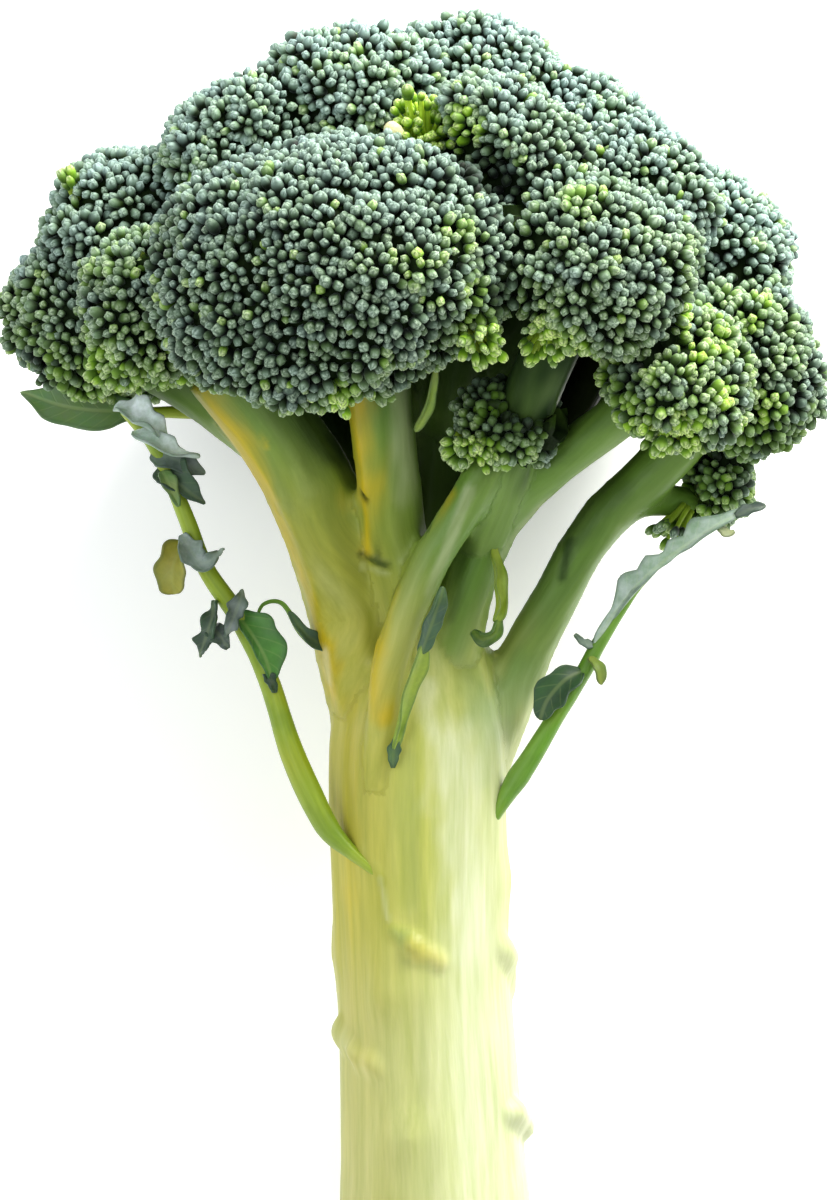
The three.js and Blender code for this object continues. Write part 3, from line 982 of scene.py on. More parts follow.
@dataclass(frozen=True)
class Patch:
    """A round patch of the crown, and how strongly it differs from the rest."""

    middle: Place
    radius: float
    amount: float

    def felt(self, places: Points, outer: float, inner: float) -> Points:
        """How strongly the patch shows at some places.

        Args:
            places: the places, in millimetres.
            outer: how far out it fades to nothing, in radii.
            inner: how far out it is whole, in radii.

        Returns:
            From 0 to the patch's amount at each place.
        """
        away = np.linalg.norm(places - np.array(self.middle), axis=1)
        return self.amount * smooth_step(away, self.radius * outer, self.radius * inner)


@dataclass(frozen=True)
class Floret:
    """One floret: a branching umbel of stalklets under a crust of buds.

    Attributes:
        name: the name that its CAD floret and branch share.
        cover: how far under the floret the buds reach, from 1 at its top to -1 at its branch.
        ripeness: how yellow-green it is all over.
        stalklets: the count, start, end and radius of each order of stalklets.
    """

    name: str
    cover: float = -0.68
    ripeness: float = 0.1
    stalklets: tuple[tuple[int, float, float, float], ...] = (
        (9, 0.1, 0.75, 1.5),
        (20, 0.45, 1.0, 0.95),
        (44, 0.75, 1.08, 0.6),
    )

    def umbel(
        self, outline: Surface, flesh: BVHTree, hub: Place, rng: np.random.Generator
    ) -> Surface | None:
        """The stalklets that fan out from the branch under the floret.

        Args:
            outline: the CAD floret.
            flesh: the crown's inner skin, which the stalklets lie along.
            hub: where the florets point away from.
            rng: the source of chance.

        Returns:
            The stalklets, with the `zone` and `grain` that the stem's finish reads, or None
            where the crown leaves them no room.
        """
        centre = outline.points.mean(axis=0)
        own = outline.tree()
        axis = unit(centre - np.array(hub))
        side = unit(np.cross(axis, (0.3, 0.2, 1.0)))
        over = np.cross(axis, side)
        reach = math.acos(max(-self.cover, -1.0))
        parts = []
        for count, start, end, radius in self.stalklets:
            turns = (np.arange(count) + rng.uniform(-0.3, 0.3, count)) / count * FULL_TURN
            for turn in turns:
                low = start * reach * rng.uniform(0.9, 1.1)
                high = end * reach * rng.uniform(0.85, 1.1)
                swing = rng.normal(0, 0.12)
                line = []
                for share in np.linspace(0, 1, 6):
                    angle = low + (high - low) * share
                    bearing = turn + swing * share
                    ray = (
                        -axis * math.cos(angle)
                        + side * math.sin(angle) * math.cos(bearing)
                        + over * math.sin(angle) * math.sin(bearing)
                    )
                    hit = flesh.ray_cast(Vector(centre), Vector(ray))[0]
                    if hit is not None and own.find_nearest(hit)[3] < 4:
                        line.append(np.array(hit) + ray * (radius * 0.3 + 0.4 * share))
                if len(line) < 4:
                    continue
                rib = tube(np.array(line), radius * np.linspace(1.1, 0.75, len(line)), 6)
                green, ochre = 0.8 + rng.uniform(-0.1, 0.2), rng.uniform(0, 0.45)
                # the stalklets get a little painted shade, as they lie under the buds
                rib.values["zone"] = zone_shares(len(rib.points), green, ochre, 0.15)
                parts.append(rib)
        return Surface.joined(parts) if parts else None


@dataclass
class Crown:
    """All the florets of the head, whose buds press together into one crust.

    Attributes:
        growth: the upright frame.
        hub: the florets point away from here.
        seed: picks its chances.
        voxel: the size of the crust's quads, in millimetres.
        bud: the shape of a bud.
        bud_radius: the usual radius of a bud, in millimetres.
        bud_mm: the least distance between two buds.
        inset: how deep the flesh lies under the outlines of the CAD florets.
        seat: how far above the flesh the middle of a bud stands.
        lean: how far the buds of a mound lean away from its middle.
        mound_mm: how far apart the small mounds of buds are.
        mound_height: how far the mounds stand out.
        fill: how much of the crease between two florets the buds fill.
        lobe_mm: how wide the uneven lobes of the crown are.
        lobe_height: how far they stand out.
        lemon: patches of young buds.
        dim: round places that lie in the shade of what is over them, where the buds are painted dark as
            shade.
        dents: round places where the crown sinks in, or stands out, by an amount in millimetres.
        special: the florets that aren't like the usual one.
    """

    growth: Growth
    hub: Place = (0, 0, 116)
    seed: int = 11
    voxel: float = 1.3
    bud: Bud = Bud()
    bud_radius: float = 0.95
    bud_mm: float = 1.43
    inset: float = 2.4
    seat: float = 1.25
    lean: float = 0.9
    mound_mm: float = 6.4
    mound_height: float = 1.9
    fill: float = 0.86
    lobe_mm: float = 15.0
    lobe_height: float = 1.8
    lemon: tuple[Patch, ...] = (
        Patch((2.1, -33.9, 193.7), 5, 0.9),
        Patch((6.5, -43.7, 192.3), 4.5, 1.0),
        Patch((25.2, -55.1, 179.2), 4, 0.5),
        Patch((23, -49, 155.5), 7, 0.75),
        Patch((10.5, -54.3, 154.7), 6, 0.75),
        Patch((44.5, -40.9, 161.3), 4.5, 0.75),
        Patch((46, -42.4, 154.7), 3, 0.9),
        Patch((51.6, -41.7, 147.5), 3.5, 0.85),
        Patch((43.2, -41.7, 141), 5, 0.85),
        Patch((41.8, -40.6, 140.5), 8, 0.45),
        Patch((59.8, -22.6, 145.2), 4.5, 0.7),
        Patch((59.4, -20.3, 166.4), 3, 0.6),
        Patch((63.8, -21, 162.7), 3, 0.5),
        Patch((57.1, -24.5, 161.7), 3, 0.65),
        Patch((26.5, -55, 178.8), 5, 0.5),
        Patch((6.5, -62.5, 172), 4, 0.5),
        Patch((10.2, -28.4, 137), 6, 0.6),
        Patch((-52.4, -28.4, 151.6), 9, 0.55),
        Patch((-12.4, -56.6, 145.4), 3.5, 0.7),
        Patch((-1, -69.5, 166.3), 4, 0.4),
        Patch((8.7, -61, 163), 4, 0.4),
        Patch((-54.5, -33.9, 170.7), 6, 0.25),
    )
    dim: tuple[Patch, ...] = (
        Patch((17, -30, 148), 10, 0.75),
        Patch((47, -2, 140), 15, 0.45),
        Patch((-55, -24, 148), 11, 0.6),
        Patch((-66, -10, 155), 9, 0.4),
        Patch((62, -16, 141), 10, 0.4),
        Patch((33, -40, 148), 7, 0.4),
        Patch((10, -50, 183), 6, 0.8),
        Patch((-1.5, -40, 197), 5, 0.6),
        Patch((12, -54, 163), 6, 0.5),
    )
    dents: tuple[Patch, ...] = (
        Patch((4, -56, 149), 9, -3.6),
        Patch((-5, -54, 146), 6, -1.6),
        Patch((-21, -55, 145), 8, 2.2),
        Patch((-36, -48, 152), 7, -1.5),
        Patch((-60.4, -15.4, 185.8), 3, 1.6),
    )
    special: tuple[Floret, ...] = (
        Floret("front_left", -0.93, 0.03),
        Floret("front_right", -0.8, 0.12),
        Floret("right_lower", -0.78, 0.36),
        Floret("right_outer", -0.78, 0.2),
        Floret("under_front", -0.85, 0.34),
        Floret("low_right", -0.85, 0.3),
        Floret("left_front", -0.78, 0.24),
        Floret("left_lower", -0.75, 0.24),
    )

    def florets(self) -> list[Floret]:
        """Every floret, those with looks of their own included."""
        special = {floret.name: floret for floret in self.special}
        nodes = sorted(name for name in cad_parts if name.startswith("floret_"))
        names = [node.removeprefix("floret_") for node in nodes]
        return [special.get(name, Floret(name)) for name in names]

    def crust(self, outlines: list[Surface]) -> Surface:
        """Draws one skin over all the florets.

        Args:
            outlines: the CAD florets.

        Returns:
            The skin, which notes as `shade` how deep in a crease each point lies.
        """
        joined = Surface.joined([outline.grown(0.35) for outline in outlines])
        skin = joined.remeshed(self.voxel).relaxed(3)
        outer = smooth_step(skin.points[:, 2] - 0.3 * skin.points[:, 1], 148, 182)
        share = self.fill * (0.3 + 0.7 * outer)  # creases under the crown stay open
        for _ in range(3):
            normals = skin.normals()
            filled = ((skin.relaxed(30).points - skin.points) * normals).sum(axis=1)
            skin.points = skin.points + normals * (filled.clip(0, 3) * share)[:, None]
        lobes = self.lobe_height * noise_at(skin.points, self.lobe_mm, 4)
        lobes += 0.6 * self.lobe_height * noise_at(skin.points, self.lobe_mm * 0.55, 12)
        for dent in self.dents:
            lobes += dent.felt(skin.points, 1.5, 0)
        skin.points = skin.points + skin.normals() * lobes[:, None]
        skin = skin.relaxed(2)
        sunk = ((skin.relaxed(25).points - skin.points) * skin.normals()).sum(axis=1)
        skin.values["shade"] = smooth_step(sunk, 0.1, 1.3)
        return skin

    def mound_seeds(self, skin: Surface, rng: np.random.Generator) -> KDTree:
        """Spreads the middles of the mounds over the crust.

        Args:
            skin: the crust.
            rng: the source of chance.

        Returns:
            A search tree of the middles.
        """
        places, _ = scattered(skin, self.mound_mm, rng)
        seeds = KDTree(len(places))
        for index, place in enumerate(places):
            seeds.insert(place, index)
        seeds.balance()
        return seeds

    def flesh(self, skin: Surface, bare: Points, heights: Points) -> Surface:
        """Draws the flesh that shows between the buds and under the florets, painted nearly black as shade
        where the buds cover it.

        Args:
            skin: the crust.
            bare: how bare of buds each point of it is.
            heights: how high the mounds stand there.

        Returns:
            The flesh, with the `zone` and `grain` that its finish reads.
        """
        depth = self.inset + bare * 1.2 - heights * (1 - bare)
        points = skin.points - skin.normals() * depth[:, None]
        # painted shade: the flesh under the buds is nearly black, the bare flesh under the florets less
        # dark
        zones = zone_shares(len(points), green=1.0, shade=0.95 - 0.5 * bare)
        values = {"zone": zones, "grain": points.copy()}
        return Surface(points, skin.quads, skin.triangles, values)

    def mounds(self, points: Points, seeds: KDTree) -> tuple[Points, Points]:
        """How high the mounds stand at some places, and the way that each one leans.

        Args:
            points: places on the crown.
            seeds: the middles of the mounds.

        Returns:
            The height at each place, and how the place lies from its mound's middle.
        """
        heights, leans = [], []
        for point in points.tolist():
            (nearest, _, first), (_, _, second) = seeds.find_n(point, 2)
            heights.append(1 - math.exp(-(second - first) / 2.2))
            leans.append(np.subtract(point, nearest))
        return (np.array(heights) - 0.6) * self.mound_height, np.array(leans)

    def looks(
        self,
        places: Points,
        outward: Points,
        rim: Points,
        ripeness: Points,
        shade: Points,
        rng: np.random.Generator,
    ) -> Points:
        """Tone, ripeness, bloom with painted light haze, and painted shade of the buds at some places.

        Args:
            places: where the buds are.
            outward: the way out at each.
            rim: how near each is to the lower rim of its floret.
            ripeness: how yellow-green its floret is.
            shade: how deep in a crease it lies.
            rng: the source of chance.

        Returns:
            Four values from 0 to 1 for each bud.
        """
        count = len(places)
        tone = 0.45 + 0.5 * noise_at(places, 9, 3) + rng.normal(0, 0.25, count)
        ripe = ripeness * (0.7 + 1.6 * noise_at(places, 6, 7)) + 0.25 * rim
        for patch in self.lemon:
            ripe = np.maximum(ripe, patch.felt(places, 1.25, 0.5))
        ripe = np.maximum(ripe, 0.4 * (rng.uniform(0, 1, count) > 0.94))
        ripe = ripe * (1 + rng.normal(0, 0.35, count))
        # painted light: the bloom value, which the buds' finish turns into a pale blue haze, rises on the
        # crown's top, its right side, buds that face up and the back of the top, where the lights fall;
        # creases get less of it, as painted shade
        top = smooth_step(places[:, 2], 150, 205)
        right = smooth_step(places[:, 0] + places[:, 1] * 0.4, 10, 60)
        upward = smooth_step(outward[:, 2], 0.2, 0.9)
        back = smooth_step(places[:, 1], -42, -15) * smooth_step(places[:, 2], 162, 182)
        bloom = 0.05 + 0.3 * top + 0.45 * right * top + 0.1 * right + 0.2 * upward + 0.35 * back
        bloom = bloom * (1 - 0.7 * shade) + rng.normal(0, 0.1, count)
        # painted shade: buds in creases and in the dim patches are darkened; a random fifth of the buds are
        # simply darker in tone
        dim = shade + 0.35 * (rng.uniform(0, 1, count) > 0.8)
        for patch in self.dim:
            dim = dim + patch.felt(places, 1.3, 0.4)
        return np.clip(np.stack([tone, ripe, bloom, dim], 1), 0, 1)

    def build(self, buds: bpy.types.Material, flesh: bpy.types.Material) -> None:
        """Builds every floret and dresses it.

        Args:
            buds: the finish of the buds.
            flesh: the finish of the flesh and the stalklets.
        """
        rng = np.random.default_rng(self.seed)
        florets = self.florets()
        outlines = [self.growth.read(f"floret_{floret.name}") for floret in florets]
        middles = np.array([outline.points.mean(axis=0) for outline in outlines])
        axes = unit(middles - np.array(self.hub))
        owner_of = [index for index, outline in enumerate(outlines) for _ in outline.triangles]
        tree = Surface.joined(outlines).tree()

        def owners(points: Points) -> Points:
            """The number of the floret that each point belongs to."""
            return np.array([owner_of[tree.find_nearest(point)[2]] for point in points.tolist()])

        covers = np.array([floret.cover for floret in florets])
        skin = self.crust(outlines)
        owner = owners(skin.points)
        facing = (skin.normals() * axes[owner]).sum(axis=1)
        covered = smooth_step(facing - covers[owner], -0.05, 0.05)
        bare = smooth_step(facing - covers[owner], 0.1, -0.2)
        seeds = self.mound_seeds(skin, rng)
        inner = self.flesh(skin, bare, self.mounds(skin.points, seeds)[0])
        nodes = tuple(f"floret_{floret.name}" for floret in florets)
        self.growth.piece("crown_flesh", inner, flesh, Slot.BRANCH, nodes)
        places, outward = scattered(skin, self.bud_mm, rng, covered)
        owner = owners(places)
        heights, leans = self.mounds(places, seeds)
        count = len(places)
        sizes = rng.normal(self.bud_radius, 0.11, count).clip(0.7, 1.25)
        clumps = 0.7 * noise_at(places, 3.6, 6)
        lift = heights - self.inset + self.seat + clumps + rng.normal(0, 0.28, count)
        jitter = rng.normal(0, 0.17, (count, 3))
        directions = unit(outward + leans / self.mound_mm * self.lean + jitter)
        facing = (outward * axes[owner]).sum(axis=1)
        rim = smooth_step(facing - covers[owner], 0.5, 0.05)
        ripeness = np.array([floret.ripeness for floret in florets])[owner]
        near = skin.tree()
        faces = [near.find_nearest(place)[2] for place in places]
        shade = skin.values["shade"][skin.all_triangles()[faces, 0]]
        looks = self.looks(places, outward, rim, ripeness, shade, rng)
        inner_tree = inner.tree()
        for index, (floret, node) in enumerate(zip(florets, nodes)):
            mine = owner == index
            at = places[mine] + outward[mine] * lift[mine][:, None]
            crust = self.bud.crowd(at, directions[mine], sizes[mine], looks[mine], rng)
            self.growth.piece(f"buds_{floret.name}", crust, buds, Slot.BUDS, (node,))
            umbel = floret.umbel(outlines[index], inner_tree, self.hub, rng)
            if umbel:
                self.growth.piece(f"umbel_{floret.name}", umbel, flesh, Slot.BRANCH, (node,))
        LOG.info("the crown has %d buds", count)


@dataclass(frozen=True)
class Sprout:
    """A tuft of loose young buds, on stalklets that show between the florets.

    Attributes:
        name: what it is called.
        node: the CAD floret that it is part of.
        base: where its stalklets start.
        towards: the way that they point.
        length: how long they are, in millimetres.
        count: how many there are.
        spread: how far they fan out, as a share of their length.
        ripeness: how yellow-green its buds are.
        bud: the radius of a bud.
        stub: whether a pale, broken stub stands beside it.
        shade: how much painted shade its stalklets carry, as they lie under the florets.
    """

    name: str
    node: str
    base: Place
    towards: Place
    length: float
    count: int
    spread: float = 0.7
    ripeness: float = 0.8
    bud: float = 0.95
    stub: tuple[Place, Place] | None = None
    shade: float = 0.5

    def build(
        self, growth: Growth, buds: bpy.types.Material, stalk: bpy.types.Material, seed: int
    ) -> None:
        """Builds the tuft and dresses it.

        Args:
            growth: the upright frame.
            buds: the finish of its buds.
            stalk: the finish of its stalklets.
            seed: picks its chances.
        """
        rng = np.random.default_rng(seed)
        axis = unit(np.array(self.towards))
        spokes = rng.normal(size=(self.count, 3))
        spokes = unit(spokes - np.outer(spokes @ axis, axis))
        spokes = spokes * np.sqrt(rng.uniform(0, 1, self.count))[:, None]
        aims = unit(axis + spokes * self.spread)
        lengths = self.length * rng.uniform(0.7, 1.1, self.count)
        base = np.array(self.base, float)
        parts, tips, bearings = [], [], []
        for aim, length, spoke in zip(aims, lengths, spokes):
            start = base + spoke * self.length * 0.25
            knee = start + (axis + aim) * length * 0.25
            end = base + aim * length + spoke * self.length * 0.15
            line = curved([start, knee, end], 6)
            parts.append(tube(line, np.linspace(0.55, 0.38, 6), 6))
            tips.append(end)
            bearings.append(unit(end - knee))
        if self.stub:
            line = curved(self.stub, 6)
            parts.append(tube(line, np.array([1.9, 1.8, 1.6, 1.5, 1.6, 1.3]), 12))
        stems = Surface.joined(parts)
        stems.values["zone"] = zone_shares(len(stems.points), 0.35, 0.2, self.shade)
        if self.stub:
            stems.values["zone"][-len(parts[-1].points) :, 3] = 0.9
        tone = rng.uniform(0.3, 0.9, self.count)
        ripe = np.clip(self.ripeness + rng.normal(0, 0.2, self.count), 0, 1)
        looks = np.stack([tone, ripe, np.full(self.count, 0.1), np.zeros(self.count)], axis=1)
        sizes = self.bud * rng.uniform(0.75, 1.15, self.count)
        crowd = Bud().crowd(np.array(tips), np.array(bearings), sizes, looks, rng)
        growth.piece(f"sprout_{self.name}_buds", crowd, buds, Slot.BUDS, (self.node,))
        growth.piece(f"sprout_{self.name}_stalklets", stems, stalk, Slot.BRANCH, (self.node,))


SPROUTS = (
    Sprout("lemon", "floret_front_top", (1, -31, 189.5), (0.15, -0.75, 0.65), 8.5, 60, 0.85, 1.0,
           0.85, ((-1.8, -33, 189), (-5.2, -40, 192.4)), 0.0),
    Sprout("lemon_tall", "floret_front_top", (-0.6, -34, 192), (-0.1, -0.55, 0.85), 8, 5, 0.25, 1.0,
           0.9, None, 0.0),
    Sprout("lemon_fork", "floret_front_top", (5.2, -34, 191.5), (0.25, -0.6, 0.8), 7.5, 7, 0.4, 1.0,
           0.85, None, 0.0),
    Sprout("front_right", "floret_front_right", (21, -47, 160), (0, -0.5, -0.85), 6.5, 34, 1.0, 0.8),
    Sprout("front_left", "floret_front_left", (8.5, -52, 158), (0.3, -0.5, -0.8), 6, 26, 0.9, 0.75),
    Sprout("right_lower", "floret_right_lower", (41.5, -37, 145), (0.05, -0.5, -0.85), 6.5, 26, 0.9, 0.7),
    Sprout("under_front", "floret_under_front", (9.5, -25, 141.5), (-0.35, -0.6, -0.7), 6.5, 26, 0.9, 0.65),
    Sprout("left_front", "floret_left_front", (-51, -26, 155.5), (-0.1, -0.45, -0.9), 6, 30, 1.1, 0.55),
    Sprout("low_right", "floret_low_right", (47.5, 0, 129.5), (-0.55, -0.35, -0.75), 6.5, 16, 0.45, 0.35),
    Sprout("nub", "floret_front_left", (-12.4, -53, 149), (0, -0.45, -0.9), 5, 9, 0.45, 0.85),
    Sprout("left_upper", "floret_left_upper", (-60, -14, 183.5), (-0.3, -0.35, 0.9), 4.5, 9, 0.5, 0.6),
)


# ---- Stem ----------------------------------------------------------------------------------


class Tint(Enum):
    """What a mark on the stem does to its skin, as the place of its value in `zone`."""

    GREEN = 0
    OCHRE = 1
    SHADE = 2
    CREAM = 3


@dataclass(frozen=True)
class Mark:
    """A long mark on the stem: a yellowed band, a crease, a lump, a pale bruise, painted shade or a painted
    highlight.

    Attributes:
        start: one end, in the upright frame.
        end: the other end.
        radius: half its width.
        tint: what it does to the colour.
        amount: how strongly.
        raise_mm: how far it stands out, or sinks in where it is negative.
    """

    start: Place
    end: Place
    radius: float
    tint: Tint
    amount: float
    raise_mm: float = 0.0


MARKS: tuple[Mark, ...] = (
    # the left branch: a yellowed left edge, painted shade on its right side under the florets, and a small
    # fresh leaf trace
    Mark((-37, -22, 152), (-28.5, -15, 134), 3.4, Tint.OCHRE, 0.95),
    Mark((-28.5, -14, 134), (-21.5, -11, 118), 2.6, Tint.OCHRE, 0.85),
    Mark((-20.5, -10.5, 116), (-16.2, -9, 102), 1.8, Tint.OCHRE, 0.75),
    Mark((-24, -21, 152), (-19, -17, 141), 4.4, Tint.SHADE, 0.6),
    Mark((-16, -15, 154), (-14.5, -13, 143), 6.0, Tint.SHADE, 0.9),
    Mark((-18, -14, 132), (-13.5, -12, 116), 3.6, Tint.GREEN, 0.75),
    Mark((-27.6, -21.5, 143.3), (-26.8, -20.5, 139.8), 0.6, Tint.OCHRE, 0.55, 0.3),
    Mark((-25.5, -20.5, 140), (-24.5, -19.5, 136.5), 1.4, Tint.GREEN, 0.8, 0.3),
    # the front branch: a broad golden band on its left, ending in a dark notch; the notch, the grooves
    # beside the band and the crease below it are darkened with painted shade, most of them also sunk in
    Mark((-12, -30.5, 153), (-10.6, -19.5, 131), 3.4, Tint.OCHRE, 1.0),
    Mark((-7.6, -31, 150), (-7.6, -26, 144), 0.7, Tint.SHADE, 0.6, -0.3),
    Mark((-10.7, -18.4, 131.6), (-9.3, -19.5, 130.4), 0.8, Tint.SHADE, 0.95, -0.5),
    Mark((-9.4, -18.5, 128.5), (-9.6, -15, 121.5), 1.4, Tint.OCHRE, 0.95),
    Mark((-7.2, -18.8, 130), (-7.4, -16.3, 121), 0.7, Tint.SHADE, 0.55, -0.4),
    Mark((-10.6, -14.4, 121), (-6.0, -16.4, 119.2), 0.8, Tint.SHADE, 0.8, 0.4),
    Mark((-10.2, -14.4, 118.9), (-6.2, -16.2, 117.4), 0.7, Tint.CREAM, 0.3),
    Mark((-3.4, -29, 150), (-3.2, -19, 132), 2.2, Tint.CREAM, 0.3),
    Mark((-3.4, -20, 134), (-4.6, -16, 120), 2.2, Tint.GREEN, 0.5),
    # the small branch: golden at its foot, with short dark traces on its left
    Mark((5.6, -22.5, 131), (-1.5, -19.5, 114), 1.3, Tint.OCHRE, 0.6),
    Mark((-2.6, -19, 114), (-6.4, -17.4, 104.5), 1.7, Tint.OCHRE, 0.95, 0.2),
    Mark((-6.6, -17.2, 104.5), (-6.9, -16.6, 93), 1.8, Tint.OCHRE, 1.0, 0.3),
    Mark((1.4, -21.5, 126), (0.2, -20.8, 122.8), 0.45, Tint.SHADE, 0.7, -0.2),
    Mark((-2.3, -19.5, 117.3), (-5.4, -17, 113), 0.7, Tint.SHADE, 0.75, 0.2),
    Mark((8.2, -24.6, 132), (1.6, -22.2, 114), 0.9, Tint.CREAM, 0.35),
    # lumps that are left on the stalk where outer leaves were cut off
    Mark((-16.2, -4.5, 36), (-13.6, -9, 33.4), 2.2, Tint.CREAM, 0.3, 2.0),
    Mark((-13, -9.8, 32.4), (-9, -12.6, 31), 2.2, Tint.OCHRE, 0.25, 1.3),
    Mark((-14.4, -8, 37), (-12.6, -9.8, 36), 1.2, Tint.GREEN, 0.5, -0.7),
    Mark((-4.6, -15.4, 55), (-1.6, -15.8, 52.6), 1.3, Tint.GREEN, 0.6, 0.8),
    Mark((-1, -15.8, 52), (3.4, -15.4, 49.6), 1.6, Tint.OCHRE, 0.45, 1.0),
    Mark((16, -7.5, 50.6), (18.2, -3, 48), 2.4, Tint.CREAM, 0.3, 2.6),
    Mark((17.2, -4, 45.6), (17.8, -1, 43.6), 1.6, Tint.GREEN, 0.4, 1.4),
    Mark((16.4, -7, 22), (17.8, -3, 18.6), 2.0, Tint.CREAM, 0.3, 2.2),
    # the stalk
    Mark((-16.4, -8.5, 104.5), (-15.8, -6.5, 97), 2.4, Tint.OCHRE, 0.9),
    Mark((-16.8, -8.5, 103.4), (-16.2, -6.5, 99), 1.4, Tint.CREAM, 0.35),
    Mark((13.6, -8, 91), (18.4, -5.4, 99.5), 4.2, Tint.GREEN, 0.85),
    Mark((18.4, -5.4, 99.5), (25, -4.6, 110), 3.8, Tint.GREEN, 0.7),
    Mark((6, -13, 106), (9.5, -14, 118), 3.2, Tint.GREEN, 0.6),
    Mark((-13, -9.3, 92), (-12.4, -9.3, 62), 3.2, Tint.OCHRE, 0.3),
    Mark((-13.4, -7.3, 60), (-12.5, -7, 40), 3.0, Tint.OCHRE, 0.25),
    Mark((-10, -11.6, 69), (-6.6, -13.6, 64), 0.9, Tint.GREEN, 0.4, 0.4),
    Mark((-6.6, -13.6, 64), (-5.6, -14.1, 57), 0.6, Tint.CREAM, 0.5, 0.3),
    Mark((9.5, -11.5, 100), (10.5, -11.4, 82), 2.6, Tint.GREEN, 0.45),
    Mark((-2.7, -15.6, 85), (-2.2, -15.1, 60), 1.6, Tint.GREEN, 0.25, -0.2),
    # pale streaks down the stalk's right half: paler skin, made paler still as painted light where the
    # lights fall
    Mark((5.2, -14, 88), (8.8, -12, 52), 3.8, Tint.CREAM, 0.7),
    Mark((1, -14.6, 98), (2.4, -14.8, 76), 1.6, Tint.CREAM, 0.45),
    Mark((8.8, -12.2, 60), (10.5, -11.9, 20), 4.4, Tint.CREAM, 0.6),
    # the branches on the right: painted shade where the florets and the other branches shade them, a raised
    # kink, and pale painted highlights along their lit edges
    Mark((17, -26, 145), (24, -36, 160), 8.5, Tint.SHADE, 1.0),
    Mark((25.3, -4, 125.5), (26, -4.8, 122.8), 1.5, Tint.GREEN, 0.6, 0.8),
    Mark((26.6, -4.5, 123.5), (25.2, -4.6, 117), 1.0, Tint.SHADE, 0.75, -0.3),
    Mark((27.4, -4.5, 124), (35, -5.5, 133), 2.8, Tint.SHADE, 0.35),
    Mark((9.8, -16, 127), (5.2, -12.5, 110), 1.3, Tint.SHADE, 0.5, -0.2),
    Mark((35.6, -6, 125), (27.6, -4, 110), 1.3, Tint.CREAM, 0.35),
    Mark((24, -17.5, 135.5), (14.8, -14, 121), 1.3, Tint.CREAM, 0.3),
)


